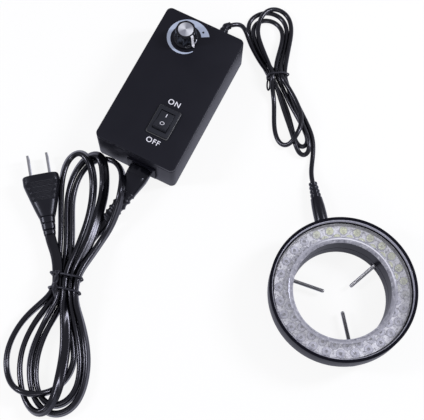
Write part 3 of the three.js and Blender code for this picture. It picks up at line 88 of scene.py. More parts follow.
# %% Camera
camera_from_ring = (-85.5, -154.7, 644.6)
camera_pitch = 0.3144
camera_roll = 0.0635
camera_data = bpy.data.cameras.new("portrait_camera")
camera_data.sensor_width = 36
camera_data.lens = 86.01
camera = bpy.data.objects.new("portrait_camera", camera_data)
bpy.context.scene.collection.objects.link(camera)
look = Vector((0, math.sin(camera_pitch), -math.cos(camera_pitch)))
level_right = Vector((1, 0, 0))
level_up = Vector((0, math.cos(camera_pitch), math.sin(camera_pitch)))
picture_right = math.cos(camera_roll) * level_right + math.sin(camera_roll) * level_up
picture_up = math.cos(camera_roll) * level_up - math.sin(camera_roll) * level_right
camera_turn = Matrix((picture_right, picture_up, -look)).transposed().to_4x4()
camera.matrix_world = Matrix.Translation(from_ring(*camera_from_ring)) @ camera_turn
bpy.context.scene.camera = camera

# %% [markdown]
# A few habits of work, as small helpers. An operator acts on all that is selected, so each piece
# starts with nothing selected. A finished piece keeps its place in its mesh, and its object stays at
# the origin.

# %% Helpers for one piece at a time
def clear():
    """Nothing is selected, and Blender is in object mode."""
    if bpy.context.object and bpy.context.object.mode != "OBJECT":
        bpy.ops.object.mode_set(mode="OBJECT")
    bpy.ops.object.select_all(action="DESELECT")


def named(name):
    """Names the primitive that was just added."""
    piece = bpy.context.object
    piece.name = name
    piece.data.name = name
    return piece


def pick(piece):
    """Selects one piece alone and makes it the active one."""
    clear()
    piece.select_set(True)
    bpy.context.view_layer.objects.active = piece


def copy_of(piece, name):
    """A copy with its own mesh."""
    pick(piece)
    bpy.ops.object.duplicate()
    return named(name)


def edit(piece, kind):
    """Opens a piece for editing its VERT, EDGE or FACE parts, with nothing selected in it."""
    pick(piece)
    bpy.ops.object.mode_set(mode="EDIT")
    bpy.ops.mesh.select_mode(type=kind)
    bpy.ops.mesh.select_all(action="DESELECT")
    return bmesh.from_edit_mesh(piece.data)


def done(piece):
    """Leaves edit mode."""
    bpy.ops.object.mode_set(mode="OBJECT")
    return piece


def tidy(piece, closeness=0.01 * mm):
    """Merges points that coincide and turns every face outward."""
    edit(piece, "VERT")
    bpy.ops.mesh.select_all(action="SELECT")
    bpy.ops.mesh.remove_doubles(threshold=closeness)
    bpy.ops.mesh.normals_make_consistent(inside=False)
    return done(piece)


def smooth(piece, degrees=32):
    """Shades the faces as one smooth skin, except across sharp edges."""
    pick(piece)
    bpy.ops.object.shade_smooth_by_angle(angle=math.radians(degrees))
    return piece


def modified(piece, kind, **settings):
    """Adds one modifier with its settings, and applies it."""
    pick(piece)
    modifier = piece.modifiers.new("change", kind)
    for setting, value in settings.items():
        setattr(modifier, setting, value)
    bpy.ops.object.modifier_apply(modifier=modifier.name)
    return piece


def bevel(piece, width, steps, degrees):
    """Rounds the sharp edges of a finished shape."""
    sharp = math.radians(degrees)
    return modified(piece, "BEVEL", width=width * mm, segments=steps, limit_method="ANGLE", angle_limit=sharp)


def combine(operation, piece, *tools):
    """DIFFERENCE cuts the tools out of a piece, UNION joins them to it. The tools are then gone."""
    for tool in tools:
        modified(piece, "BOOLEAN", operation=operation, solver="EXACT", object=tool)
        bpy.data.objects.remove(tool)
    return piece


def gather(name, pieces):
    """Makes several separate shapes one object."""
    clear()
    for piece in pieces:
        piece.select_set(True)
    bpy.context.view_layer.objects.active = pieces[0]
    bpy.ops.object.join()
    return named(name)


def move(piece, matrix):
    """Writes a place into the mesh, and leaves the object at the origin."""
    piece.data.transform(matrix @ piece.matrix_world)
    piece.matrix_world = Matrix.Identity(4)
    return piece


def show_faces(*pieces):
    """Prints how many faces each piece has."""
    print("faces:", {piece.name: len(piece.data.polygons) for piece in pieces})


def wear(piece, material, body="body"):
    """Gives a piece its only material, its material slot in the record and its body."""
    piece.data.materials.clear()
    piece.data.materials.append(material)
    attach(piece, body)


# %% [markdown]
# Four ways of making a shape cover most of this object. A turned piece is an outline that spins once
# round an axis. A rod is a turned piece, with small rounded rims where it needs them. A rounded block
# is a cube with two sizes of bevel. A moulded body is one ring of points, extruded from section to
# section. All but the last take millimetres.

# %% Ways of making a shape
def between(low, high, share):
    return low + (high - low) * share


def turned(name, corners, steps):
    """Spins a closed outline of (radius, height) corners once round the Z axis."""
    clear()
    bpy.ops.mesh.primitive_circle_add(vertices=len(corners), radius=1, fill_type="NOTHING")
    piece = named(name)
    for point, (radius, height) in zip(piece.data.vertices, corners):
        point.co = (radius * mm, 0, height * mm)
    edit(piece, "VERT")
    bpy.ops.mesh.select_all(action="SELECT")
    bpy.ops.mesh.spin(steps=steps, angle=full_turn, center=(0, 0, 0), axis=(0, 0, 1))
    return tidy(done(piece))


def arc(centre_r, centre_z, radius, start, end, steps):
    """Corners of a round, from one angle to another in degrees."""
    corners = []
    for k in range(steps + 1):
        angle = math.radians(between(start, end, k / steps))
        corners.append((centre_r + radius * math.cos(angle), centre_z + radius * math.sin(angle)))
    return corners


def rod(name, radius, length, rim=0, steps=32):
    """A straight pin from height zero, with plain rims or with rims rounded in three steps."""
    side = [(radius, 0), (radius, length)]
    if rim:
        foot_round = arc(radius - rim, rim, rim, -90, 0, 3)
        side = foot_round + arc(radius - rim, length - rim, rim, 0, 90, 3)
    return turned(name, [(0, 0), *side, (0, length)], steps)


def bevel_lines(piece, width, steps, chosen):
    """Bevels the edges that are chosen by how far one end stands above the other."""
    mesh = edit(piece, "EDGE")
    for line in mesh.edges:
        start, end = line.verts
        line.select_set(chosen(abs(start.co.z - end.co.z)))
    bmesh.update_edit_mesh(piece.data)
    bpy.ops.mesh.bevel(offset=width * mm, segments=steps, affect="EDGES")
    done(piece)


def block(name, width, length, height, corner=0, edge=0, edge_steps=3):
    """A block on height zero, with upright corners and level edges of their own roundness."""
    clear()
    bpy.ops.mesh.primitive_cube_add(size=1, location=(0, 0, 1 / 2))
    piece = move(named(name), Matrix.Diagonal((width * mm, length * mm, height * mm, 1)))
    if corner:
        bevel_lines(piece, corner, 8, lambda rise: rise > height * mm / 2)
    if edge:
        bevel_lines(piece, edge, edge_steps, lambda rise: rise < edge * mm / 10)
    return smooth(piece)


def oval(centre, across, upward, half_width, half_height, corner):
    """A section as a rule from an angle to a point: an ellipse at corner 1, squarer below it."""
    def point(angle):
        x = math.copysign(abs(math.cos(angle)) ** corner, math.cos(angle))
        y = math.copysign(abs(math.sin(angle)) ** corner, math.sin(angle))
        return centre + across * (x * half_width) + upward * (y * half_height)
    return point


def toothed(radius, height, depth, teeth, sharpness=1):
    """A round section at a height, as such a rule, with scallops between a number of teeth."""
    def point(angle):
        wave = (1 - math.cos(angle * teeth)) / 2
        reach = radius - depth * wave ** sharpness
        return Vector((reach * math.cos(angle), reach * math.sin(angle), height)) * mm
    return point


def moulded(name, sections, points):
    """Extrudes one ring of points from section to section."""
    clear()
    bpy.ops.mesh.primitive_circle_add(vertices=points, radius=1, fill_type="NGON")
    piece = named(name)
    edit(piece, "FACE")
    bpy.ops.mesh.select_all(action="SELECT")
    mesh = bmesh.from_edit_mesh(piece.data)
    around = mesh.verts.layers.float.new("around")
    for point in mesh.verts:
        point[around] = math.atan2(point.co.y, point.co.x)
    for number, section in enumerate(sections):
        if number:
            bpy.ops.mesh.extrude_region_move()
        mesh = bmesh.from_edit_mesh(piece.data)
        around = mesh.verts.layers.float["around"]
        for point in mesh.verts:
            if point.select:
                point.co = section(point[around])
        bmesh.update_edit_mesh(piece.data)
    return smooth(tidy(done(piece)))


# %% [markdown]
# A material is a tree of nodes, and a few helpers keep it short. An input is either set to a value or
# linked to what another node puts out, so one helper does both.

# %% Helpers for nodes
def set_inputs(tree, node, values):
    """Sets each named input to its value, or links it where the value is another node's output."""
    for socket, value in values.items():
        if isinstance(value, bpy.types.NodeSocket):
            tree.links.new(value, node.inputs[socket])
        else:
            node.inputs[socket].default_value = value
    return node


def add_node(tree, kind, values, **modes):
    """Adds a node in its modes, such as an operation, and fills its inputs."""
    node = tree.nodes.new(kind)
    for mode, choice in modes.items():
        setattr(node, mode, choice)
    return set_inputs(tree, node, values)


def calculated(tree, operation, *values):
    """What a Math node makes of numbers or outputs."""
    return add_node(tree, "ShaderNodeMath", dict(enumerate(values)), operation=operation).outputs[0]


def mixed(tree, share, first, second):
    """One colour that gives way to another by a share."""
    values = {"Factor": share, "A": first, "B": second}
    return add_node(tree, "ShaderNodeMix", values, data_type="RGBA").outputs["Result"]


def noise(tree, scale, detail, **more):
    """A noise that stays on its piece."""
    place = add_node(tree, "ShaderNodeTexCoord", {}).outputs["Object"]
    values = {"Vector": place, "Scale": scale, "Detail": detail, **more}
    return add_node(tree, "ShaderNodeTexNoise", values).outputs["Fac"]


def bumped(tree, strength, distance, height):
    values = {"Strength": strength, "Distance": distance, "Height": height}
    return add_node(tree, "ShaderNodeBump", values).outputs["Normal"]


def new_group(name, inputs, outputs):
    """A node group with named sockets, and its inner start and end."""
    group = bpy.data.node_groups.new(name, "ShaderNodeTree")
    colours = ("Colour", "Worn", "Glint", "Shade")
    for side, titles in (("INPUT", inputs), ("OUTPUT", outputs)):
        for title in titles:
            kind = "NodeSocketColor" if title in colours else "NodeSocketFloat"
            group.interface.new_socket(title, in_out=side, socket_type=kind)
    return group, group.nodes.new("NodeGroupInput"), group.nodes.new("NodeGroupOutput")


# %% [markdown]
# Moulded plastic is never quite even: its roughness wanders, and a fine spark-eroded grain breaks up
# the highlight. One node group makes that grain for every plastic, rubber and metal here, and each
# material places it with its own scale and strength. The Principled shader itself stays in the
# material.

# %% Grain, as one shared group
def grain_group():
    inputs = ("Colour", "Worn", "Roughness", "Spread", "Scale")
    group, start, end = new_group("moulded_grain", inputs, ("Colour", "Roughness", "Height"))
    given = start.outputs
    patches = noise(group, 45, 4)
    wander = calculated(group, "SUBTRACT", patches, 0.5)
    set_inputs(group, end, {
        "Colour": mixed(group, patches, given["Colour"], given["Worn"]),
        "Roughness": calculated(group, "MULTIPLY_ADD", wander, given["Spread"], given["Roughness"]),
        "Height": noise(group, given["Scale"], 2),
    })
    return group


moulded_grain = grain_group()
grain_depth = 0.2 * mm


def grained(name, colour, worn, roughness, spread, scale, relief, shader_values):
    """A material with the shared grain, and more settings for its shader."""
    material = bpy.data.materials.new(name)
    material.use_nodes = True
    material.diffuse_color = (*colour, 1)
    tree = material.node_tree
    grain_values = {
        "Colour": (*colour, 1), "Worn": (*worn, 1), "Roughness": roughness, "Spread": spread, "Scale": scale,
    }
    grain = add_node(tree, "ShaderNodeGroup", grain_values, node_tree=moulded_grain)
    set_inputs(tree, tree.nodes["Principled BSDF"], {
        "Base Color": grain.outputs["Colour"],
        "Roughness": grain.outputs["Roughness"],
        "Normal": bumped(tree, relief, grain_depth, grain.outputs["Height"]),
        **shader_values,
    })
    return material


def plastic(name, colour, worn, roughness, spread, scale, relief, specular=0.5):
    """A moulded plastic or rubber: colour, a slightly worn tint, and its grain."""
    shine = {"Specular IOR Level": specular, "Specular Tint": (0.86, 0.88, 1, 1)}
    return grained(name, colour, worn, roughness, spread, scale, relief, shine)


box_black = plastic(
    "box_black", (0.005, 0.005, 0.008), (0.008, 0.008, 0.012), 0.46, 0.1, 3200, 0.1, 0.26)
ring_black = plastic(
    "ring_black", (0.004, 0.004, 0.007), (0.007, 0.007, 0.011), 0.34, 0.1, 2600, 0.05, 0.05)
gloss_black = plastic(
    "gloss_black", (0.003, 0.003, 0.005), (0.006, 0.006, 0.009), 0.22, 0.08, 1500, 0.02, 0.4)
rocker_black = plastic(
    "rocker_black", (0.013, 0.014, 0.018), (0.018, 0.019, 0.024), 0.36, 0.08, 2500, 0.04, 0.4)
# A pale grey that paints a highlight round the switch's frame.
painted_highlight_lip = plastic(
    "painted_highlight_lip", (0.07, 0.072, 0.07), (0.1, 0.102, 0.1), 0.4, 0.08, 2500, 0.04)
knob_black = plastic(
    "knob_black", (0.003, 0.003, 0.004), (0.006, 0.006, 0.008), 0.2, 0.1, 1800, 0.03, 0.45)
soft_black = plastic(
    "soft_black", (0.004, 0.004, 0.006), (0.008, 0.008, 0.011), 0.32, 0.12, 2200, 0.06, 0.35)
print_white = plastic(
    "print_white", (0.8, 0.8, 0.84), (0.7, 0.7, 0.75), 0.5, 0.1, 4000, 0.02, 0.3)
scale_print = plastic(
    "scale_print", (0.34, 0.4, 0.52), (0.52, 0.57, 0.68), 0.5, 0.1, 900, 0.02, 0.3)
print("plastics:", [material.name for material in (box_black, ring_black, gloss_black, rocker_black)])

# %% [markdown]
# A lead is laid point by point. Each of its points is chosen where the camera sees it, across and down the
# picture, with its height over the table and the lean of its section. The camera then says where on the bench
# that is. Looking along the camera's line is how a set dresser lays a cable, too.

# %% From the camera's view to the bench
picture_size = (424, 420)
pixels_per_radian = camera_data.lens / camera_data.sensor_width * picture_size[0]


def seen_at(x, y, height):
    """The place, in millimetres from the ring's axis, that shows at x, y and lies at a height."""
    right = (x - picture_size[0] / 2) / pixels_per_radian
    rise = (picture_size[1] / 2 - y) / pixels_per_radian
    direction = look + picture_right * right + picture_up * rise
    eye = (camera.matrix_world.translation - ring_centre) / mm
    return eye + direction * ((height - eye.z) / direction.z)


def curve_between(a, b, c, d, steps=12):
    """Points from b towards c on a soft curve that a and d guide."""
    t1 = (b - a).length ** 0.5
    t2 = t1 + (c - b).length ** 0.5
    t3 = t2 + (d - c).length ** 0.5
    points = []
    for k in range(steps):
        t = t1 + (t2 - t1) * k / steps
        ab = a.lerp(b, t / t1)
        bc = b.lerp(c, (t - t1) / (t2 - t1))
        cd = c.lerp(d, (t - t2) / (t3 - t2))
        abc = ab.lerp(bc, t / t2)
        bcd = bc.lerp(cd, (t - t1) / (t3 - t1))
        points.append(abc.lerp(bcd, (t - t1) / (t2 - t1)))
    return points


def smooth_route(points, step=1.5):
    """A soft curve through the points, with its own points evenly spaced."""
    ends = [points[0] * 2 - points[1], *points, points[-1] * 2 - points[-2]]
    fine = []
    for four in zip(ends, ends[1:], ends[2:], ends[3:]):
        fine += curve_between(*four)
    fine.append(points[-1])
    even = [fine[0]]
    travelled = 0
    for a, b in zip(fine, fine[1:]):
        travelled += (b - a).length
        if travelled >= step:
            even.append(b)
            travelled = 0
    if travelled > step / 3:
        even.append(fine[-1])
    else:
        even[-1] = fine[-1]
    return even


def length_of(points):
    return sum((b - a).length for a, b in zip(points, points[1:]))


# %% [markdown]
# The leads' ends are fixed by what they go into. Box places are given across the box, along it
# towards its far end, and up from the table.

# %% Places on the box and at the leads' ends
box_from_ring = (box_centre - ring_centre) / mm
box_width, box_length, box_height = 58, 106, 30
inlet_x, inlet_height = 5.6, 12
gland_x, gland_height = 9.5, 15
connector_reach = 21.3
lamp_plug_reach, lamp_plug_height = 79.3, 4.85


def on_box(x, y, z):
    """A point given in millimetres on the control box, as one from the ring's axis."""
    c, t = math.cos(box_turn), math.sin(box_turn)
    return Vector((box_from_ring.x + x * c - y * t, box_from_ring.y + x * t + y * c, z))


def level_direction(turn):
    return Vector((math.cos(turn), math.sin(turn), 0))


box_along = on_box(0, 1, 0) - on_box(0, 0, 0)
relief_bow = 1.5
relief_end = Vector((-155.3, 41.6, 3))
relief_start = on_box(inlet_x, -box_length / 2 - connector_reach, inlet_height)
relief_middle = (relief_start + relief_end) / 2 - box_along * relief_bow
relief_out = (relief_end - relief_middle).normalized()
plug_tail = Vector((-190.2, 28.4, 7.2))
plug_turn = math.radians(15)
plug_along = Vector((-math.sin(plug_turn), math.cos(plug_turn), 0))
gland_end = seen_at(230.2, 25.6, 14.4)
gland_out = (seen_at(235.4, 24.4, 13.8) - gland_end).normalized()
lamp_plug_turn = math.radians(104)
lamp_plug_out = level_direction(lamp_plug_turn)
lamp_plug_tail = lamp_plug_out * lamp_plug_reach + up * lamp_plug_height
print("box to ring, mm:", [round(side, 1) for side in box_from_ring])

# %% [markdown]
# The mains lead. From the connector it runs under the tie, round the widest lower loop and up into
# the first upper loop, and so on through four lower and three upper loops to the plug. It stands on
# its edge where it is pulled together, and lies over towards flat where it is loose. The last
# number of each point is that lean: 0 is flat and 90 is on edge.

# %% Route of the mains lead
mains_seen = [
    # from the connector, under the bundle
    (97.6, 230.2, 2.6, 20), (92.6, 238, 3.2, 60), (87, 248, 3.5, 85), (81.5, 262, 3.6, 90),
    (76.5, 275, 4.4, 90), (73, 286, 4.7, 90),
    # first lower loop: up to here it lies lowest, then it passes over the two inner left strands
    (70, 297, 4.2, 90), (69.5, 310, 3.6, 85), (70.7, 325, 3.6, 80), (72.7, 340, 3.6, 80),
    (74.3, 352, 3.6, 80), (73.8, 362, 3.6, 85), (71, 371, 3.6, 85), (66.3, 379, 3.6, 88),
    (60, 385.5, 3.6, 90), (53.5, 390, 5.5, 90), (47, 392.8, 9, 90), (40.5, 394, 10.8, 90),
    (33, 394.6, 11, 90), (26, 393.4, 10.8, 90), (19.5, 390.3, 9.4, 90), (13.5, 385.5, 6.6, 90),
    (9, 378, 4.2, 90), (6.6, 368, 3.6, 88), (6.5, 357, 3.6, 85), (8.8, 346, 3.6, 82),
    (13.3, 335, 3.6, 80), (20.2, 323, 3.6, 80), (28, 313, 3.6, 85), (36.3, 304, 3.8, 90),
    (44, 295.8, 4.2, 90), (50.5, 287.5, 4.7, 90),
    # first upper loop, beside the plug and over the others at its top
    (55.5, 276, 4.4, 90), (59, 262, 3.8, 86), (61, 247, 3.6, 82), (62.5, 232, 3.6, 80),
    (63, 217, 3.6, 78), (62.5, 203, 3.6, 76), (61.8, 190, 3.6, 72), (62.6, 177, 3.8, 68),
    (65.2, 165.5, 4.4, 62), (69.7, 157, 5.8, 56), (75.6, 152.4, 8, 52), (82, 151.8, 10, 52),
    (87.4, 155.6, 11, 54), (91, 163.5, 11, 58), (92.8, 174, 10.6, 62), (92.6, 188, 10, 66),
    (90.8, 203, 9.8, 70), (87, 219, 9.8, 74), (81.5, 235, 10.4, 78), (76, 251, 11.2, 84),
    (71, 266, 12, 88), (67, 279, 12.4, 90), (65.8, 287, 12.4, 90),
    # second lower loop, which turns flat on its way down and crosses over the inner loops
    (65.2, 297, 11.6, 76), (65.5, 311, 10, 38), (66, 326, 9.2, 14), (65.6, 341, 9, 6),
    (64.2, 355, 9, 4), (62.2, 368, 9.2, 8), (60, 379, 9.4, 16), (57.4, 389.5, 9.6, 36),
    (54.2, 399, 9.8, 55), (50, 406.5, 9.8, 60), (45, 411.5, 9, 66), (38.8, 413.3, 7.4, 72),
    (32.3, 410.6, 5.6, 78), (26.8, 404, 4.2, 82), (22.7, 395.5, 3.6, 85), (20.4, 385.5, 3.6, 85),
    (19.3, 374, 3.6, 84), (19.7, 362, 3.6, 80), (22.2, 349, 3.6, 78), (26.7, 337, 3.6, 78),
    (33, 325, 3.6, 80), (41, 313, 3.6, 85), (48.5, 302, 3.8, 90), (54.5, 293, 4.4, 90),
    (58, 285.5, 4.7, 90),
    # second upper loop: the flat strand that takes the broad highlight
    (61.5, 274, 4.4, 90), (65, 259, 3.8, 90), (66.4, 244, 3.6, 90), (66.6, 229, 3.6, 90),
    (66.5, 214, 3.6, 90), (67.2, 200, 3.6, 86), (69.5, 187.5, 3.6, 78), (73, 177, 3.6, 68),
    (78, 168, 3.6, 60), (84.5, 160, 4, 50), (91, 156, 5.4, 40), (97.6, 155.4, 7.6, 32),
    (102.4, 159.6, 9, 28), (104.2, 168, 9, 28), (104.2, 181, 8, 28), (102.6, 195, 7, 28),
    (99.4, 209.5, 6.6, 28), (94.8, 225, 7, 28), (89.5, 241.5, 8, 28), (84, 258, 9.4, 29),
    (79.4, 272.5, 11, 34), (75.4, 286, 12.4, 70),
    # third lower loop, the innermost
    (73.2, 298, 11, 84), (73.8, 312, 8.4, 78), (76.1, 328, 5.6, 72), (79, 344, 4, 72),
    (80.8, 360, 3.6, 75), (80.6, 374, 3.6, 78), (78, 386, 3.6, 80), (73, 395.5, 3.6, 80),
    (66.2, 402.3, 3.6, 80), (58.5, 405.6, 3.6, 80), (51, 405.6, 3.6, 80), (44.7, 402, 3.6, 82),
    (39.8, 395.5, 3.6, 84), (36.8, 387, 3.6, 82), (35.4, 377, 3.6, 76), (35.8, 364, 3.6, 72),
    (39, 348.5, 3.6, 70), (45, 333, 3.6, 74), (52, 318.5, 3.6, 82), (58.2, 305, 3.8, 90),
    (62.5, 295, 4.4, 90), (65.5, 285.5, 4.7, 90),
    # third upper loop, out to the right and over the connector's sleeve
    (68.5, 272, 4.4, 90), (70.6, 257, 3.8, 90), (71.2, 243, 3.6, 90), (71, 229, 3.6, 90),
    (71, 215, 3.6, 90), (71.8, 201, 3.6, 88), (74.4, 188.5, 3.6, 84), (78.4, 178, 3.6, 78),
    (84, 169, 3.6, 74), (90.5, 162.5, 3.6, 74), (97.5, 159, 3.8, 76), (104.8, 157.8, 4.4, 78),
    (112, 159, 6.6, 76), (118, 163.8, 9, 74), (121.8, 171.5, 11.8, 72), (122.9, 181.5, 14, 70),
    (121.8, 192.5, 15, 68), (119.2, 203.5, 14.8, 66), (114.8, 214.5, 13.6, 68), (109, 226, 12.2, 74),
    (101.2, 238, 11, 82), (93.7, 250, 10.8, 84), (87.8, 262, 11.2, 86), (83.6, 274, 12, 90),
    (81.2, 286, 12.4, 90),
    # fourth lower loop, outermost on the right
    (80.4, 298, 12, 88), (81, 312, 10.8, 80), (82.9, 328, 9.4, 72), (85, 343, 7.8, 68),
    (86.2, 357, 6, 68), (85.9, 370, 4.6, 72), (84, 383, 3.8, 76), (80.4, 395, 3.6, 80),
    (74.8, 404.5, 3.6, 80), (67.4, 411.3, 3.6, 80), (59, 414.8, 3.6, 80), (50.6, 414.6, 3.6, 80),
    (43.4, 410.8, 3.6, 82), (37.4, 404.3, 3.6, 84), (33.2, 396, 3.6, 84), (30.6, 386, 3.6, 82),
    (29.6, 376, 3.6, 78), (30, 362, 3.6, 74), (33.2, 347.5, 3.6, 72), (39.3, 332.5, 3.6, 76),
    (46.8, 317.5, 3.8, 84), (53.3, 305, 5.6, 80), (57.5, 295, 8, 50), (59.3, 286, 10.2, 15),
    # flat to the plug, on top of the strands beside it
    (60, 273, 10.3, 0), (58.4, 263, 10, 0), (56.2, 254.5, 9.3, 0), (53.7, 247.4, 8.5, 0),
]
mains_points = [relief_end - relief_out * 3, relief_end, relief_end + relief_out * 3]
mains_leans = [0, 0, 0]
for x, y, height, lean in mains_seen:
    mains_points.append(seen_at(x, y, height))
    mains_leans.append(lean)
mains_points += [plug_tail - plug_along * 4, plug_tail, plug_tail + plug_along * 3]
mains_leans += [0, 0, 0]
mains_way = smooth_route(mains_points)
print("mains lead, mm:", round(length_of(mains_way)))

# %% [markdown]
# The low-voltage lead is round and thinner, so it needs no lean. It has three upper loops, two lower
# ones that lie together, and one that has slipped out to the left and lies over them.

# %% Route of the low-voltage lead
lamp_seen = [
    # from the gland down the left of the bundle
    (238.6, 24, 13), (243.4, 25.6, 10.6), (246.6, 30.4, 8), (249.6, 39, 6),
    (255, 51, 4.9), (262, 64, 5), (269.5, 75.5, 6.1),
    # first lower loop and back up the right
    (275.3, 87, 5), (280, 99, 4.9), (285.2, 113, 4.9), (290, 127, 4.9), (294, 139.5, 4.9),
    (296.8, 147.5, 4.9), (299.8, 153, 4.9), (304.6, 155.2, 4.9), (308.8, 151.4, 4.9), (309, 144.5, 4.9),
    (306.6, 135.5, 4.9),
    (302.6, 125, 4.9), (297.8, 112.5, 4.9), (292.6, 100, 4.9), (288, 87, 5.2), (284.6, 75, 6.1),
    # the big upper loop, over the others on its way down the left
    (285.5, 62.5, 5), (288, 48.5, 4.9), (290.8, 34.5, 4.9), (291, 22.4, 4.9), (287, 13.2, 4.9),
    (279.3, 8.6, 4.9), (270.3, 9, 5.4), (263, 14, 7), (258.9, 22.3, 8.2), (258, 32, 8.2),
    (260.4, 42.5, 8.2), (264.6, 54, 8.2), (269.4, 65, 8.4), (274, 75.5, 9.2),
    # the loop that slipped out to the left, and over the bundle
    (274.6, 87, 4.6), (275, 99, 2), (274.4, 112, 1.6), (274.2, 126, 1.6), (276.6, 137.6, 1.6),
    (281.4, 144.8, 1.6), (287.6, 146, 2.8), (293.2, 141.4, 5.6), (298.2, 133.4, 8), (301.4, 123.4, 8.2),
    (300.4, 112, 8.2), (295, 99, 8.2), (288, 86.5, 8.2), (281, 75.3, 9.2),
    # second upper loop, lowest
    (281.6, 63, 4), (284.4, 50, 1.6), (287, 37, 1.6), (285.6, 25, 1.6), (278.6, 16.4, 1.6),
    (267.6, 12.8, 1.6), (257.2, 15.2, 1.6), (249.8, 21.8, 1.6), (248.6, 31.3, 1.6), (252.4, 43, 1.6),
    (258, 54, 1.6), (264, 65, 1.8), (270, 76, 2.8),
    # second lower loop
    (276.5, 87, 1.8), (282.4, 99, 1.6), (287.4, 112.5, 1.6), (291.2, 126, 1.6), (293.6, 135.6, 1.6),
    (296.2, 143.2, 1.6), (302, 147.8, 1.6), (307.8, 145, 1.6), (308.8, 138, 1.6), (304.6, 128.4, 1.6),
    (298, 117, 1.6), (291.6, 106.5, 1.6), (286, 95.5, 1.6), (281.6, 85, 1.8), (278, 75, 3),
    # third upper loop, the inner one
    (279.4, 63, 4.6), (281.6, 49.5, 4.9), (283.4, 37, 4.9), (281.4, 27, 4.9), (273.8, 19.8, 4.9),
    (263, 18.4, 4.9), (254.8, 23.4, 4.9), (252.8, 33, 4.9), (256, 44, 4.9), (261, 55, 4.9),
    (267.2, 65.5, 4.4), (274, 71.5, 2.8),
    # out to the right of the bundle and down to the ring
    (281, 77.5, 2.2), (286.6, 86, 1.8), (292.6, 96, 1.6), (298.8, 108, 1.6), (304.2, 120, 1.6),
    (308.6, 132, 1.6), (311.6, 143.5, 1.6), (312.4, 154.5, 1.8), (311.8, 164, 2.6), (311.2, 171.5, 3.8),
]
lamp_points = [gland_end - gland_out * 1.5, gland_end, gland_end + gland_out * 2.2]
for x, y, height in lamp_seen:
    lamp_points.append(seen_at(x, y, height))
lamp_points += [lamp_plug_tail + lamp_plug_out * 3, lamp_plug_tail, lamp_plug_tail - lamp_plug_out * 3]
lamp_way = smooth_route(lamp_points, 1.2)
print("low-voltage lead, mm:", round(length_of(lamp_way)))

# %% [markdown]
# The listed points would still let the cord pass through itself here and there. So it settles, as a dropped
# cord does: every point sinks a little, cores that come too close push each other apart, the table pushes
# back, and the cord's own stiffness evens the way out. The two ends stay where they are held. First come the
# lean of each point and a hank's own directions.

# %% Leans and hanks
def tilts_along(way, points, leans):
    """The lean of every point of the smooth way, between those of the chosen points."""
    tilts = []
    number = 0
    for place in way:
        while number < len(points) - 2:
            past_next = (place - points[number + 1]).dot(points[number + 2] - points[number])
            if past_next <= 0:
                break
            number += 1
        step = points[number + 1] - points[number]
        share = min(max((place - points[number]).dot(step) / step.length_squared, 0), 1)
        tilts.append(math.radians(between(leans[number], leans[number + 1], share)))
    return tilts


mains_hank = {"tie": (-176.5, -4), "turn": -4.8}
lamp_hank = {"tie": (-45.7, 154), "turn": 18}


def in_hank(hank, point):
    """A ring-centred point as across and along its hank, from the tie."""
    turn = math.radians(hank["turn"])
    x, y = point.x - hank["tie"][0], point.y - hank["tie"][1]
    return x * math.cos(turn) + y * math.sin(turn), y * math.cos(turn) - x * math.sin(turn)


def out_of_hank(hank, across, along, height):
    turn = math.radians(hank["turn"])
    x = hank["tie"][0] + across * math.cos(turn) - along * math.sin(turn)
    y = hank["tie"][1] + across * math.sin(turn) + along * math.cos(turn)
    return Vector((x, y, height))


def cores_of(way, tilts, offset):
    """The middles of the round cores in each section, and the point each belongs to."""
    cores = []
    for number, place in enumerate(way):
        if not offset:
            cores.append((place, number))
            continue
        along = (way[min(number + 1, len(way) - 1)] - way[max(number - 1, 0)]).normalized()
        flat = Vector((along.y, -along.x, 0)).normalized()
        side = flat * math.cos(tilts[number]) + up * math.sin(tilts[number])
        cores += [(place + side * offset, number), (place - side * offset, number)]
    return cores


def search_tree(cores):
    tree = KDTree(len(cores))
    for number, (place, _) in enumerate(cores):
        tree.insert(place, number)
    tree.balance()
    return tree


def least_gap(way, tilts, core, offset, apart=9):
    """The least gap between cores of different turns, for a report."""
    cores = cores_of(way, tilts, offset)
    tree = search_tree(cores)
    gaps = [core]
    for place, owner in cores:
        for _, other, distance in tree.find_range(place, core * 2):
            if abs(cores[other][1] - owner) >= apart:
                gaps.append(distance - core)
    return round(min(gaps), 2)


# %% [markdown]
# One round of settling adds up the pushes on every point. A push is felt by the neighbours too,
# because a cord is stiff. In the last rounds nothing sinks any more, so that the cord comes to rest.

# %% How a lead settles
settling_rounds, quiet_rounds, evening_rounds = 80, 25, 10
sink, free_gap, touching = 0.1, 0.12, 0.001
held_points, stiff_reach = 8, 5
crowd_share, belt_share, evening_share, last_evening_share = 0.55, 0.5, 0.5, 0.4
push_gain = 1.2


def lifts_of(place, core, humps):
    """How far each hump and the table lift a core that is too low."""
    lifts = []
    for centre, radius in humps:
        beside = (place - centre).to_2d().length
        limit = radius + core / 2
        if beside < limit and place.z > centre.z:
            lifts.append(centre.z + math.sqrt(limit ** 2 - beside ** 2) - place.z)
    lifts.append(core / 2 - place.z)
    return [lift for lift in lifts if lift > 0]


def felt(pushes, hits, number):
    """The pushes on a point and its neighbours, weaker with their distance, and their weight."""
    push = Vector((0, 0, 0))
    weight = 0
    for near in range(number - stiff_reach + 1, number + stiff_reach):
        share = 1 - abs(near - number) / stiff_reach
        if hits[near]:
            push += pushes[near] / hits[near] * share
            weight += share
    return push, weight


def evened(points, held, share):
    """Each point drawn towards the middle of its neighbours, except those held at the ends."""
    even = list(points)
    for number in range(held, len(points) - held):
        even[number] = points[number].lerp((points[number - 1] + points[number + 1]) / 2, share)
    return even


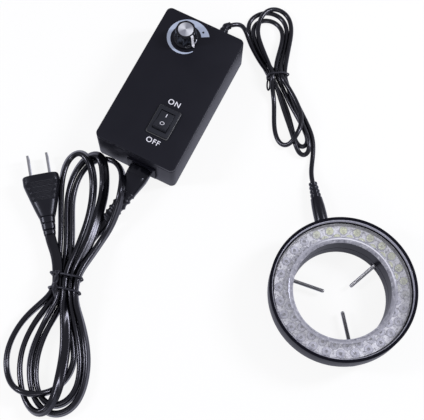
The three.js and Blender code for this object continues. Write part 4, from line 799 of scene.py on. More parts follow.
def settled(start, tilts, core, offset, belt, humps=(), apart=9):
    """The way after its cores have sunk on the table, each other and the humps, inside the belt."""
    hank, half_length, half_width = belt
    reach = core + free_gap
    moving = range(held_points, len(start) - held_points)
    shifts = [Vector((0, 0, 0)) for _ in start]
    for turn in range(settling_rounds):
        way = [place + shift for place, shift in zip(start, shifts)]
        cores = cores_of(way, tilts, offset)
        tree = search_tree(cores)
        pushes = [Vector((0, 0, 0)) for _ in way]
        hits = [0] * len(way)
        for place, owner in cores:
            for other_place, other, distance in tree.find_range(place, reach):
                if abs(cores[other][1] - owner) >= apart and distance >= touching:
                    pushes[owner] += (place - other_place) / distance * (reach - distance) * crowd_share
                    hits[owner] += 1
            for lift in lifts_of(place, core, humps):
                pushes[owner].z += lift
                hits[owner] += 1
        for number, place in enumerate(way):
            across, along = in_hank(hank, place)
            if abs(along) < half_length and abs(across) > half_width:
                excess = math.copysign(abs(across) - half_width, across)
                inward = out_of_hank(hank, across - excess, along, place.z) - place
                pushes[number] += inward * belt_share
                hits[number] += 1
        for number in moving:
            push, weight = felt(pushes, hits, number)
            if weight:
                shifts[number] += push / max(weight, 1) * push_gain
            elif turn < settling_rounds - quiet_rounds:
                shifts[number].z -= sink
        shifts = evened(shifts, held_points, evening_share)
    way = [place + shift for place, shift in zip(start, shifts)]
    for _ in range(evening_rounds):
        way = evened(way, 3, last_evening_share)
    for place, number in cores_of(way, tilts, offset):
        if number in moving:
            way[number].z += max(core / 2 - place.z, 0)
    return way


# %% [markdown]
# The mains lead also lies over its connector's sleeve, which stands under it as a row of round humps.
# A belt, given by half its length and half its width, narrows each lead where the tie holds it.

# %% The two leads settle
mains_core = 3.5
mains_offset = mains_core / 2
lamp_cord = 3.2
sleeve_start_radius, sleeve_end_radius, sleeve_steps = 4.4, 3.2, 6
mains_belt = (mains_hank, 9, 8)
lamp_belt = (lamp_hank, 6, 6.5)
mains_tilts = tilts_along(mains_way, mains_points, mains_leans)
print("mains lead as laid, least gap in mm:", least_gap(mains_way, mains_tilts, mains_core, mains_offset))
sleeve_humps = []
for k in range(sleeve_steps + 1):
    share = k / sleeve_steps
    radius = between(sleeve_start_radius, sleeve_end_radius, share)
    sleeve_humps.append((relief_start.lerp(relief_end, share), radius))
mains_way = settled(mains_way, mains_tilts, mains_core, mains_offset, mains_belt, sleeve_humps)
print("mains lead settled, least gap in mm:", least_gap(mains_way, mains_tilts, mains_core, mains_offset))
lamp_tilts = [0] * len(lamp_way)
lamp_way = settled(lamp_way, lamp_tilts, lamp_cord, 0, lamp_belt, apart=8)
print("low-voltage lead settled, least gap in mm:", least_gap(lamp_way, lamp_tilts, lamp_cord, 0))
print("their lengths, mm:", round(length_of(mains_way)), round(length_of(lamp_way)))

# %% [markdown]
# A cord's sheath is extruded through a die, so its section never changes. The twin mains cord has
# two round cores side by side with a valley between them; the lamp lead is round. Each is a curve
# that carries its section, with the tilt of every point chosen, and is then made a mesh.

# %% Sheaths of the leads
def line_curve(name, points, tilts=None, outline=False):
    """A line through points in metres, open in space or as a closed flat outline."""
    clear()
    bpy.ops.curve.primitive_nurbs_path_add()
    piece = named(name)
    piece.data.dimensions = "2D" if outline else "3D"
    piece.data.splines.clear()
    line = piece.data.splines.new("POLY")
    line.points.add(len(points) - 1)
    for number, (point, place) in enumerate(zip(line.points, points)):
        point.co = (*place, 1)
        point.tilt = -tilts[number] if tilts else 0
    line.use_cyclic_u = outline
    return piece


def flat_outline(name, corners):
    return line_curve(name, [(x * mm, y * mm, 0) for x, y in corners], outline=True)


def as_mesh(piece):
    pick(piece)
    bpy.ops.object.convert(target="MESH")
    return named(piece.name)


def sheathed(name, points, section, tilts=None):
    """A cord along the points, with a section given as (across, thick) corners in millimetres."""
    outline = flat_outline(name + "_section", section)
    piece = line_curve(name, [from_ring(*point) for point in points], tilts)
    piece.data.twist_mode = "Z_UP"
    piece.data.bevel_mode = "OBJECT"
    piece.data.bevel_object = outline
    piece.data.use_fill_caps = True
    piece = as_mesh(piece)
    bpy.data.objects.remove(outline)
    return smooth(tidy(piece), 60)


def round_section(diameter, corners):
    radius = diameter / 2
    angles = [k * full_turn / corners for k in range(corners)]
    return [(radius * math.cos(angle), radius * math.sin(angle)) for angle in angles]


def twin_section(width, thickness):
    """Two round cores side by side under one flat face, with a shallow valley between them."""
    radius = thickness / 2
    centre = width / 2 - radius
    side = arc(centre, 0, radius, -90, 90, 8)
    top = [(centre * 0.45, radius * 0.98), (0, radius * 0.9), (-centre * 0.45, radius * 0.98)]
    half = side + top
    return half + [(-x, -y) for x, y in half]


mains_lead = sheathed("mains_lead", mains_way, twin_section(mains_core * 2, mains_core), mains_tilts)
lamp_lead = sheathed("lamp_lead", lamp_way, round_section(lamp_cord, 16))
show_faces(mains_lead, lamp_lead)

# %% [markdown]
# A lead's sheath is soft PVC with a high gloss: a dark colour that is hardly there, a smooth skin,
# and slow waves along the cord that break the highlight where the sheath was pulled and bent.

# %% Sheath finishes
def sheath_material(name, colour, tint, roughness, wave_scale, wave_depth):
    shine = {"Specular IOR Level": 0.5, "Specular Tint": (0.88, 0.88, 1, 1)}
    material = grained(name, colour, tint, roughness, 0.05, 900, 0.02, shine)
    tree = material.node_tree
    waves = bumped(tree, wave_depth, 1 * mm, noise(tree, wave_scale, 2))
    set_inputs(tree, tree.nodes["Bump"], {"Normal": waves})
    return material


mains_sheath = sheath_material("mains_sheath", (0.002, 0.002, 0.003), (0.004, 0.004, 0.006), 0.24, 90, 0.01)
lamp_sheath = sheath_material("lamp_sheath", (0.003, 0.003, 0.004), (0.006, 0.006, 0.008), 0.25, 140, 0.03)
wear(mains_lead, mains_sheath)
wear(lamp_lead, lamp_sheath)
print("sheaths:", mains_sheath.name, lamp_sheath.name)

# %% [markdown]
# A wire tie is pulled tight round its bundle, so it follows the outermost cords. Its line is the
# outline of the cords where they pass under it, found from the sheath's own points.

# %% The line of a tie
def outline_of(points):
    """The corners of a tight string round flat points, anticlockwise."""
    points = sorted(set(points))
    rows = []
    for order in (points, points[::-1]):
        row = []
        for point in order:
            while len(row) > 1:
                (ax, ay), (bx, by) = row[-2], row[-1]
                if (bx - ax) * (point[1] - ay) - (by - ay) * (point[0] - ax) > 0:
                    break
                row.pop()
            row.append(point)
        rows += row[:-1]
    return rows


def outward(start, end):
    along = end - start
    return Vector((along.y, -along.x)).normalized()


def tie_line(hank, cord, shift, thickness, slant):
    """A closed line round the cords at a shift along the hank, and its left end, in millimetres."""
    tie_half_width, slack, least_step = 1.6, 0.1, 0.4
    near = []
    for point in cord.data.vertices:
        across, along = in_hank(hank, (point.co - ring_centre) / mm)
        if abs(along - shift - across * slant) < tie_half_width:
            near.append((round(across, 2), round(point.co.z / mm, 2)))
    hull = [Vector(corner) for corner in outline_of(near)]
    corners = []
    for before, here, after in zip([hull[-1], *hull], hull, [*hull[1:], hull[0]]):
        out_a, out_b = outward(before, here), outward(here, after)
        for out in (out_a, (out_a + out_b).normalized(), out_b):
            moved = here + out * (thickness / 2 + slack)
            corners.append(Vector((moved.x, max(moved.y, thickness / 2))))
    line = [out_of_hank(hank, c.x, shift + c.x * slant, c.y) for c in corners]
    kept = [line[0]]
    for point in line[1:]:
        if (point - kept[-1]).length > least_step:
            kept.append(point)
    if (kept[-1] - kept[0]).length < least_step:
        kept.pop()
    left, right = min(c.x for c in corners), max(c.x for c in corners)
    print("tie round", len(near), "points, across", round(left, 1), "to", round(right, 1))
    return kept, left


def height_over(hank, line, across):
    """How high a tie's line passes over a place across its bundle."""
    crossings = []
    for number, start in enumerate(line):
        end = line[(number + 1) % len(line)]
        start_across, end_across = in_hank(hank, start)[0], in_hank(hank, end)[0]
        if min(start_across, end_across) <= across < max(start_across, end_across):
            share = (across - start_across) / (end_across - start_across)
            crossings.append(between(start.z, end.z, share))
    return max(crossings)


# %% [markdown]
# The mains hank has two turns of coated wire, whose ends are twisted together between them. The
# lamp hank has one turn, with a spare end that curls back. Each turn overlaps itself a little, so
# that no end shows.

# %% Ties round the bundles
def wire(name, points, thickness):
    return sheathed(name, points, round_section(thickness, 10))


mains_wire, turn_shift, mains_slant = 1.5, 4.6, -0.1
knot_start, knot_end, knot_from_left = 6.4, -6.6, 5.2
knot_radius, knot_steps, knot_turns = 0.8, 24, 1.1
upper_tie, upper_left = tie_line(mains_hank, mains_lead, turn_shift, mains_wire, mains_slant)
lower_tie, _ = tie_line(mains_hank, mains_lead, -turn_shift, mains_wire, mains_slant)
knot_across = upper_left + knot_from_left
knot_heights = [height_over(mains_hank, line, knot_across) + mains_wire for line in (upper_tie, lower_tie)]
print("the twist lies at", [round(height, 1) for height in knot_heights])
mains_tie_parts = [
    wire("mains_tie_upper", upper_tie + upper_tie[:3], mains_wire),
    wire("mains_tie_lower", lower_tie + lower_tie[:3], mains_wire),
]
for number, phase in enumerate((0, math.pi)):
    strand = []
    for k in range(knot_steps + 1):
        share = k / knot_steps
        angle = phase + share * full_turn * knot_turns
        across = knot_across + knot_radius * math.cos(angle)
        height = between(*knot_heights, share) + knot_radius * math.sin(angle)
        strand.append(out_of_hank(mains_hank, across, between(knot_start, knot_end, share), height))
    mains_tie_parts.append(wire(f"mains_tie_twist_{number}", strand, mains_wire))
mains_tie = gather("mains_tie", mains_tie_parts)

lamp_wire, lamp_slant = 1.2, -0.12
spare_steps, spare_turn = 28, full_turn * 0.93
spare_half_width, spare_half_length, spare_drift = 1.05, 4, 1.2
spare_height, spare_rise = 2.4, 0.7
lamp_tie_line, lamp_left = tie_line(lamp_hank, lamp_lead, 0, lamp_wire, lamp_slant)
spare = []
for k in range(spare_steps + 1):
    angle = -math.pi / 2 + k / spare_steps * spare_turn
    down = 1 + math.sin(angle)
    x = lamp_left + spare_drift + spare_half_width * math.cos(angle) - spare_drift * down
    y = 0.2 - spare_half_length * down
    spare.append(out_of_hank(lamp_hank, x, y, spare_height + spare_rise * math.sin(angle / 2)))
lamp_tie = gather("lamp_tie", [
    wire("lamp_tie_turn", lamp_tie_line + lamp_tie_line[:3], lamp_wire),
    wire("lamp_tie_spare", spare, lamp_wire),
])
tie_coat = plastic("tie_coat", (0.012, 0.012, 0.016), (0.03, 0.03, 0.038), 0.34, 0.14, 1600, 0.05, 0.3)
wear(mains_tie, tie_coat)
wear(lamp_tie, tie_coat)
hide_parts("mains_lead_tie")
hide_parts("lamp_lead_tie")
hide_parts("mains_lead_hank", "mains_lead_plug_run", "mains_lead_connector_run")
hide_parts("lamp_lead_hank", "lamp_lead_gland_run", "lamp_lead_plug_run")

# %% [markdown]
# The ring head. Its tray is turned here from one outline: a foot with a generous round, a plain side, and a
# thin rim that stands a little proud of the cover. On the real product it is moulded, and the inside of the
# rim is as polished as its mould. The light it catches there is a painted reflection on a pale band inside
# the rim, which is made with the cover.

# %% Ring tray
round_steps = 144


def ring_turned(name, corners, degrees):
    """A piece turned about the ring's axis, smooth except across edges sharper than the degrees."""
    return smooth(move(turned(name, corners, round_steps), ring_place), degrees)


ring_radius, bore_radius = 46.9, 31.3
tray_bottom, tray_floor, bore_wall_top, ring_top = 10, 12.4, 21.4, 28
foot_round, rim_round, rim_wall, broken_edge = 3, 0.5, 2, 0.3
bore_wall = 1.1
tray = ring_turned("ring_tray", [
    (bore_radius + broken_edge, tray_bottom),
    *arc(ring_radius - foot_round, tray_bottom + foot_round, foot_round, -90, 0, 8),
    *arc(ring_radius - rim_round, ring_top - rim_round, rim_round, 0, 90, 4),
    *arc(ring_radius - rim_wall + rim_round, ring_top - rim_round, rim_round, 90, 180, 4),
    (ring_radius - rim_wall, tray_floor),
    (bore_radius + bore_wall, tray_floor),
    (bore_radius + bore_wall, bore_wall_top),
    (bore_radius + broken_edge, bore_wall_top),
    (bore_radius, bore_wall_top - broken_edge),
    (bore_radius, tray_bottom + broken_edge),
], 35)
wear(tray, ring_black)
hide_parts("ring_tray_housing")
show_faces(tray)

# %% [markdown]
# The mounting collar under the tray slides over the microscope's lens housing. Three screws pass
# through its wall, and a square boss holds the low-voltage socket. Holes are cut through it with
# plain rods, and each hole's tool is thrown away afterwards.

# %% Mounting collar
def laid_along_x(piece, start, height, azimuth):
    """Turns a piece that stands on zero to point outward from the ring's axis."""
    lay = Matrix.Translation((start * mm, 0, height * mm)) @ Matrix.Rotation(math.pi / 2, 4, "Y")
    return move(piece, ring_place @ Matrix.Rotation(azimuth, 4, "Z") @ lay)


first_screw_degrees, screw_count, screw_height = 44, 3, 5
screw_angles = [math.radians(first_screw_degrees) + k * full_turn / screw_count for k in range(screw_count)]
collar_radius, collar_top = 38.5, 9.7
boss_depth, boss_width, boss_corner, boss_reach = 11.6, 13, 1.2, 40.2
bush_radius, bush_length, bush_reach = 2.8, 12, 28
socket_side, socket_length, socket_reach = 7.8, 11.6, 33.5
mouth_radius, mouth_length, mouth_reach = 3.35, 14, 36
collar = turned("mounting_collar_body", [
    (bore_radius, 0.4), (bore_radius + 0.4, 0), (collar_radius - 0.6, 0), (collar_radius - 0.2, 0.15),
    (collar_radius, 0.6), (collar_radius, collar_top), (bore_radius, collar_top),
], round_steps)
move(collar, ring_place)
to_plug = Matrix.Rotation(lamp_plug_turn, 4, "Z")
boss = block("boss", boss_depth, boss_width, collar_top, corner=boss_corner)
combine("UNION", collar, move(boss, ring_place @ to_plug @ Matrix.Translation((boss_reach * mm, 0, 0))))
tools = []
for azimuth in screw_angles:
    tools.append(laid_along_x(rod("bush_hole", bush_radius, bush_length), bush_reach, screw_height, azimuth))
socket_room = block("socket_room", socket_side, socket_side, socket_length)
socket_mouth = rod("socket_mouth", mouth_radius, mouth_length)
tools.append(laid_along_x(socket_room, socket_reach, lamp_plug_height, lamp_plug_turn))
tools.append(laid_along_x(socket_mouth, mouth_reach, lamp_plug_height, lamp_plug_turn))
combine("DIFFERENCE", collar, *tools)
smooth(bevel(collar, 0.12, 1, 50), 35)
wear(collar, ring_black)
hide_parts("mounting_collar")
show_faces(collar)

# %% [markdown]
# Three thumbscrews hold the ring on the microscope. Each has a rolled thread, a rounded point, a
# turned neck, and a knurled head: the head is one ring of points with twenty-four shallow teeth. The
# thread is a stack of fine ridges, which looks the same as a helix at this size. Its steel is
# blackened and oiled: dark, but still a metal, with bright worn ridges.

# %% Thumbscrews and metals
def thumbscrew(name):
    """A threaded shank with a rounded point and a neck, and a knurled head on it."""
    thread_start, thread_pitch, ridges, root, crest = 1, 0.5, 54, 1.15, 1.3
    neck_start, neck_radius, neck_end, head_start = 29, 2.8, 30.4, 30.1
    corners = [(0, 0), (0.5, 0.02), (0.85, 0.14), (1.05, 0.4), (root, 0.8)]
    for k in range(ridges):
        start = thread_start + k * thread_pitch
        corners += [(root, start), (crest, start + thread_pitch / 2)]
    corners += [
        (root, neck_start - 0.6), (root, neck_start), (neck_radius - 0.2, neck_start),
        (neck_radius, neck_start + 0.2), (neck_radius, neck_end), (0, neck_end),
    ]
    levels = [(2.9, 0, 0), (3.3, 0.25, 0.2), (3.6, 0.55, 0.36), (3.6, 5, 0.36), (3.3, 5.3, 0.2),
              (2.9, 5.5, 0), (2.1, 5.5, 0), (1.9, 5.3, 0)]
    sections = [toothed(radius, head_start + height, depth, teeth=24) for radius, height, depth in levels]
    shank = turned(name, corners, 32)
    head = smooth(moulded(name + "_head", sections, 144), 30)
    return smooth(gather(name, [shank, head]), 30)


def metal(name, colour, worn, roughness):
    """A metal's colour is its highlight, so the worn tint is the brighter one."""
    return grained(name, colour, worn, roughness, 0.16, 900, 0.06, {"Metallic": 1})


dark_steel = metal("dark_steel", (0.26, 0.26, 0.27), (0.44, 0.44, 0.45), 0.36)
blackened = metal("blackened", (0.02, 0.02, 0.022), (0.05, 0.05, 0.055), 0.4)
nickel = metal("nickel", (0.5, 0.5, 0.52), (0.62, 0.62, 0.64), 0.26)
brass = metal("brass", (0.56, 0.44, 0.2), (0.66, 0.54, 0.28), 0.3)
heatsink_metal = metal("heatsink_metal", (0.5, 0.51, 0.53), (0.6, 0.61, 0.62), 0.42)
screw_tip_reach = 10
thumbscrews = [thumbscrew("thumbscrew_1_turned")]
thumbscrews += [copy_of(thumbscrews[0], f"thumbscrew_{number}_turned") for number in (2, 3)]
for number, (screw, azimuth) in enumerate(zip(thumbscrews, screw_angles), start=1):
    laid_along_x(screw, screw_tip_reach, screw_height, azimuth)
    wear(screw, dark_steel, f"screw_{number}")
    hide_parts(f"thumbscrew_{number}")
print("thumbscrews, azimuth in degrees:", [round(math.degrees(a)) for a in screw_angles])

# %% [markdown]
# The lamps sit on a round board. Each lamp is a bullet of clear epoxy with a grey seat round it, a
# drop of yellow phosphor inside and a chip on the drop. One is built, then copied round.

# %% Lamp board
board_inner, board_outer, board_bottom, board_top = 32.7, 44.6, 13.3, 14.9
plate_inner, plate_outer, plate_bottom, plate_top = 32.6, 43.1, 18.6, 19.2
lamps_in_row = 28
lamp_rows = ((40, 0), (35.1, 0.5))
flange, bullet, dome_start, dome_height = 2.75, 2.48, 5.6, 2.5
lamp_top = dome_start + dome_height
dome = [(radius, dome_start + rise * dome_height / bullet) for radius, rise in arc(0, 0, bullet, 0, 84, 7)]
lamp_outlines = {
    "lamp_bullets": (20, [(0, 0), (flange, 0), (flange, 0.9), (2.5, 1), *dome, (0, lamp_top)]),
    "lamp_seats": (20, [(2.4, 4.2), (2.95, 4.2), (2.95, 4.45), (2.8, 4.6), (2.5, 4.6), (2.4, 4.5)]),
    "lamp_drops": (14, [(0, 4.2), (1.75, 4.2), (1.75, 4.5), (1.5, 4.8), (0.8, 4.9), (0, 4.9)]),
    "lamp_chips": (8, [(0, 4.85), (0.65, 4.85), (0.65, 5.05), (0, 5.05)]),
}


def round_rows(name, steps, corners):
    """Turns one piece, copies it to all fifty-six lamp places, and joins the copies."""
    first = smooth(turned(name + "_first", corners, steps), 40)
    copies = []
    for row_radius, shift in lamp_rows:
        for k in range(lamps_in_row):
            azimuth = (k + shift) * full_turn / lamps_in_row
            out = Matrix.Translation((row_radius * mm, 0, board_top * mm))
            copies.append(move(copy_of(first, name), ring_place @ Matrix.Rotation(azimuth, 4, "Z") @ out))
    bpy.data.objects.remove(first)
    return gather(name, copies)


def flat_ring(name, inner, outer, bottom, top):
    return ring_turned(name, [(inner, bottom), (outer, bottom), (outer, top), (inner, top)], 35)


board = flat_ring("lamp_board_disc", board_inner, board_outer, board_bottom, board_top)
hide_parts("lamp_board")
lamps = {name: round_rows(name, *shape) for name, shape in lamp_outlines.items()}
lamp_plate = flat_ring("lamp_plate", plate_inner, plate_outer, plate_bottom, plate_top)
show_faces(*lamps.values())

# %% [markdown]
# Behind the cover everything glitters. Fifty-six lenses split each glint into many, finer than the camera
# resolves. That light is painted: one node group scatters painted glints and painted specks of shade, pale
# and dark, over a colour, and the board, the lamps and the cover each use it at their own scale.

# %% Painted glints, as a second shared group
# Pale specks are painted glints, and dark specks are painted shade.
def painted_glints_group():
    group, start, end = new_group("painted_glints", ("Colour", "Glint", "Shade", "Scale"), ("Colour", "Height"))
    specks = noise(group, start.outputs["Scale"], 3, Roughness=0.7)
    colour = start.outputs["Colour"]
    for low, high, other in ((0.54, 0.64, "Glint"), (0.46, 0.36, "Shade")):
        ends = {"Value": specks, "From Min": low, "From Max": high}
        share = add_node(group, "ShaderNodeMapRange", ends).outputs["Result"]
        colour = mixed(group, share, colour, start.outputs[other])
    set_inputs(group, end, {"Colour": colour, "Height": specks})
    return group


painted_glints = painted_glints_group()


def add_painted_glints(material, glint, shade, scale):
    """Paints glints and specks of shade over the colour that a material already has."""
    tree = material.node_tree
    shader = tree.nodes["Principled BSDF"]
    values = {
        "Colour": shader.inputs["Base Color"].links[0].from_socket,
        "Glint": (*glint, 1), "Shade": (*shade, 1), "Scale": scale,
    }
    specks = add_node(tree, "ShaderNodeGroup", values, node_tree=painted_glints)
    set_inputs(tree, shader, {"Base Color": specks.outputs["Colour"]})


# %% [markdown]
# Clear plastic is glass to the shader: it transmits, bends and mirrors.

# %% Clear plastics
def any_ray(tree, *kinds):
    """A mask for the kinds of ray that look at the surface."""
    rays = add_node(tree, "ShaderNodeLightPath", {}).outputs
    mask = rays[kinds[0]]
    for kind in kinds[1:]:
        mask = calculated(tree, "MAXIMUM", mask, rays[kind])
    return mask


def show_both(tree, share, first, second):
    """Lets a share choose between two shaders for the surface."""
    sheet = add_node(tree, "ShaderNodeMixShader", {"Fac": share, 1: first, 2: second})
    set_inputs(tree, tree.nodes["Material Output"], {"Surface": sheet.outputs["Shader"]})


def clear_material(name, colour, roughness, ior, clarity, relief):
    worn = [c * 0.97 for c in colour]
    glass = {"Transmission Weight": clarity, "IOR": ior}
    material = grained(name, colour, worn, roughness, roughness, 900, relief, glass)
    tree = material.node_tree
    open_air = add_node(tree, "ShaderNodeBsdfTransparent", {"Color": (0.93, 0.93, 0.95, 1)})
    straight = any_ray(tree, "Is Shadow Ray", "Is Diffuse Ray")
    show_both(tree, straight, tree.nodes["Principled BSDF"].outputs["BSDF"], open_air.outputs["BSDF"])
    return material


cover_clear = clear_material("cover_clear", (0.96, 0.96, 0.97), 0.03, 1.3, 0.88, 0.05)
lamp_clear = clear_material("lamp_clear", (0.94, 0.94, 0.97), 0.02, 1.42, 0.95, 0.12)
# The clear plastics get painted glints and painted specks of shade.
add_painted_glints(cover_clear, (1, 1, 1), (0.6, 0.6, 0.62), 520)
add_painted_glints(lamp_clear, (1, 1, 1), (0.4, 0.4, 0.44), 1000)
print("clear plastics:", cover_clear.name, lamp_clear.name)

# %% [markdown]
# On the ring's far right side the drops look yellower and the line along the cover's edge is brighter, where
# the lamps face the light. That light is painted: their colour fades to a second, painted lit colour across
# the ring, in a fixed direction on the bench, so it stays with the piece from every side.

# %% Painted light across the ring
far_right = level_direction(math.radians(62))
fade_start, fade_end = 16, 27


def painted_far_side_light(name, colour, worn, painted_lit_colour):
    """A finish whose colour turns to a painted lit colour in the lamps of the far side."""
    material = plastic(name, colour, worn, 0.4, 0.1, 1500, 0.02, 0.4)
    tree = material.node_tree
    place = add_node(tree, "ShaderNodeTexCoord", {}).outputs["Object"]
    reach = add_node(tree, "ShaderNodeVectorMath", {0: place, 1: far_right}, operation="DOT_PRODUCT")
    centre = far_right.dot(ring_centre)
    fade = add_node(tree, "ShaderNodeMapRange", {
        "Value": reach.outputs["Value"],
        "From Min": centre + fade_start * mm, "From Max": centre + fade_end * mm,
    })
    near_colour = tree.nodes["Group"].outputs["Colour"]
    turning = mixed(tree, fade.outputs["Result"], near_colour, (*painted_lit_colour, 1))
    set_inputs(tree, tree.nodes["Principled BSDF"], {"Base Color": turning})
    return material


# The far colours are painted light: drops and chips turn yellower, and the bevel's line becomes a brighter
# painted highlight, on the far right side.
phosphor = painted_far_side_light("phosphor", (0.62, 0.62, 0.68), (0.5, 0.5, 0.56), (0.74, 0.78, 0.4))
chip_grey = painted_far_side_light("chip_grey", (0.04, 0.04, 0.05), (0.1, 0.1, 0.12), (0.5, 0.52, 0.26))
painted_highlight_line = painted_far_side_light("painted_highlight_line", (0.3, 0.3, 0.34), (0.42, 0.42, 0.46), (0.82, 0.82, 0.86))
seat_grey = plastic("seat_grey", (0.2, 0.2, 0.24), (0.42, 0.42, 0.48), 0.3, 0.1, 900, 0.05)
board_white = plastic("board_white", (0.84, 0.84, 0.84), (0.92, 0.92, 0.92), 0.32, 0.1, 1200, 0.1)
# The board gets painted glints and dark painted specks of shade.
add_painted_glints(board_white, (1, 1, 1), (0.06, 0.06, 0.07), 560)
for piece, finish in (
    (board, board_white), (lamps["lamp_bullets"], lamp_clear), (lamps["lamp_seats"], seat_grey),
    (lamps["lamp_chips"], chip_grey), (lamp_plate, board_white), (lamps["lamp_drops"], phosphor),
):
    wear(piece, finish)
print("lamp finishes:", phosphor.name, chip_grey.name, seat_grey.name, board_white.name)

# %% [markdown]
# The clear cover lies between the rim and the bore, with a bevel down to the bore's edge. It is turned from
# one outline, and its own edges are just broken. Its bevel is a thin turned piece of its own, and so are two
# pieces of painted light: a painted highlight along the bevel, and a pale band inside the rim that is a
# painted reflection.

# %% Lamp cover
frosted_edge = plastic("frosted_edge", (0.3, 0.3, 0.34), (0.4, 0.4, 0.45), 0.12, 0.1, 700, 0.1, 0.7)
# This pale grey paints the reflection that the rim's polished inside catches.
painted_rim_reflection = plastic("painted_rim_reflection", (0.42, 0.42, 0.5), (0.56, 0.56, 0.64), 0.2, 0.14, 500, 0.05, 0.6)
# The bevel gets painted glints and painted shade too.
add_painted_glints(frosted_edge, (0.56, 0.56, 0.6), (0.2, 0.2, 0.23), 450)
cover = ring_turned("lamp_cover_clear", [
    (43.5, 24.1), (43.3, 24.3), (34, 24.3), (33.6, 24.2),
    (31.5, 22), (31.35, 21.6), (32.6, 21.5), (34.2, 23.1), (43.5, 23.1),
], 28)
bevel_band = ring_turned("cover_bevel", [
    (31.35, 21.5), (31.3, 21.7), (31.4, 22), (32.7, 23.4), (33.1, 23.75), (33.9, 24.3), (34.3, 24.5),
    (34.6, 24.5), (34.7, 24.35), (34.4, 24.05), (33.8, 23.7), (32, 21.5),
], 40)
# A pale band inside the rim: a painted reflection of the light on the rim's inside.
painted_reflection_band = ring_turned("rim_painted_reflection", [
    (44.6, 24), (44.9, 24), (44.9, 27.4), (44.7, 27.4), (44.6, 27.2),
], 40)
# A thin bright line on the bevel's edge: a painted highlight.
painted_bevel_highlight = ring_turned("cover_bevel_painted_highlight", [
    (33.2, 23.7), (33.1, 23.85), (33.7, 24.28), (33.85, 24.2), (33.5, 23.7),
], 60)
for piece, finish in (
    (cover, cover_clear), (bevel_band, frosted_edge), (painted_bevel_highlight, painted_highlight_line), (painted_reflection_band, painted_rim_reflection),
):
    wear(piece, finish)
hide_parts("lamp_cover")
show_faces(cover, bevel_band, painted_bevel_highlight, painted_reflection_band)

# %% [markdown]
# The control box is two injection mouldings, a deep tray and a flat lid. Both have rounded upright
# corners and softly broken edges, and the line between them is a real gap with rounded lips.

# %% Box tray and lid
def on_lid(x, y, z=0):
    """A place on the box, turned with it."""
    return box_place @ Matrix.Translation((x * mm, y * mm, z * mm))


def upright(turn):
    """Turns a standing piece to lie along the box."""
    return Matrix.Rotation(turn, 4, "X")


switch_x, switch_y = 7.4, -24.8
knob_x, knob_y = -7.6, 36.4
box_corner, tray_edge, lid_edge = 3.6, 0.55, 0.5
box_tray_height, seam_height = 26.8, 27
wall_cut, lid_cut, lid_cut_foot = 6, 8, 25
inlet_width, inlet_tallness, inlet_foot = 18.2, 12.2, 5.9
switch_hole_width, switch_hole_length, shaft_hole_radius = 13.4, 19.2, 3.7
box_tray = block("box_tray_shell", box_width, box_length, box_tray_height, box_corner, tray_edge, 4)
inlet_cut = block("inlet_cut", inlet_width, wall_cut, inlet_tallness)
gland_cut = rod("gland_cut", 3.5, wall_cut)
combine(
    "DIFFERENCE", move(box_tray, on_lid(0, 0)),
    move(inlet_cut, on_lid(inlet_x, -box_length / 2, inlet_foot)),
    move(gland_cut, on_lid(gland_x, box_length / 2 + wall_cut / 2, gland_height) @ upright(math.pi / 2)),
)
box_lid = block("box_lid_shell", box_width, box_length, box_height - seam_height, box_corner, lid_edge, 4)
switch_cut = block("switch_cut", switch_hole_width, switch_hole_length, lid_cut)
combine(
    "DIFFERENCE", move(box_lid, on_lid(0, 0, seam_height)),
    move(switch_cut, on_lid(switch_x, switch_y, lid_cut_foot)),
    move(rod("dimmer_cut", shaft_hole_radius, lid_cut), on_lid(knob_x, knob_y, lid_cut_foot)),
)
for piece, node in ((box_tray, "box_tray"), (box_lid, "box_lid")):
    wear(smooth(piece, 30), box_black)
    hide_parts(node)
show_faces(box_tray, box_lid)

# %% [markdown]
# Lettering is printed on the lid in pale ink. Text and flat outlines are made meshes before they
# are placed. The scale beside the knob is a crescent that grows clockwise, from a thin start at the
# low end to a wide square end, with a dot at the knob's index.

# %% Lettering and the dimmer's scale
ink_height = 0.04
ink_z = box_height + 0.03
ink_closeness = 0.002 * mm


def laid_ink(piece, place):
    return tidy(move(as_mesh(piece), place), ink_closeness)


def printed(name, words, size, place):
    """Words as a thin layer of ink, centred on their place."""
    clear()
    bpy.ops.object.text_add()
    piece = named(name)
    piece.data.body = words
    piece.data.size = size * mm
    piece.data.align_x = "CENTER"
    piece.data.align_y = "CENTER"
    piece.data.space_character = 1.14
    piece.data.extrude = ink_height * mm / 2
    piece.data.offset = 0.04 * mm
    return laid_ink(piece, place)


def flat_shape(name, corners, place):
    """A flat outline in millimetres, as a thin layer of ink."""
    piece = flat_outline(name, corners)
    piece.data.fill_mode = "BOTH"
    piece.data.extrude = ink_height * mm / 2
    return laid_ink(piece, place)


word_on = printed("word_on", "ON", 5.3, on_lid(switch_x, -9.7, ink_z))
word_off = printed("word_off", "OFF", 5.2, on_lid(7.3, -39.9, ink_z))
scale_inner = 10.5
scale_stops = ((-37, 11), (-70, 11.8), (-158, 12.9), (-250, 14.4), (-329, 16))


def scale_reach(angle):
    for (start, low), (end, high) in zip(scale_stops, scale_stops[1:]):
        if angle >= end:
            return between(low, high, (start - angle) / (start - end))
    return scale_stops[-1][1]


def at_angle(reach, degrees):
    return reach * math.cos(math.radians(degrees)), reach * math.sin(math.radians(degrees))


sweep = [between(scale_stops[0][0], scale_stops[-1][0], k / 72) for k in range(73)]
crescent = [at_angle(scale_inner, a) for a in sweep] + [at_angle(scale_reach(a), a) for a in reversed(sweep)]
dimmer_scale = flat_shape("dimmer_scale", crescent, on_lid(knob_x, knob_y, ink_z))
dot = move(rod("dimmer_scale_dot", 0.75, ink_height, steps=24), on_lid(0.9, 45.7, ink_z + 0.01))
for piece, finish in (
    (word_on, print_white), (word_off, print_white), (dimmer_scale, scale_print), (dot, box_black),
):
    wear(piece, finish)
show_faces(word_on, word_off, dimmer_scale, dot)

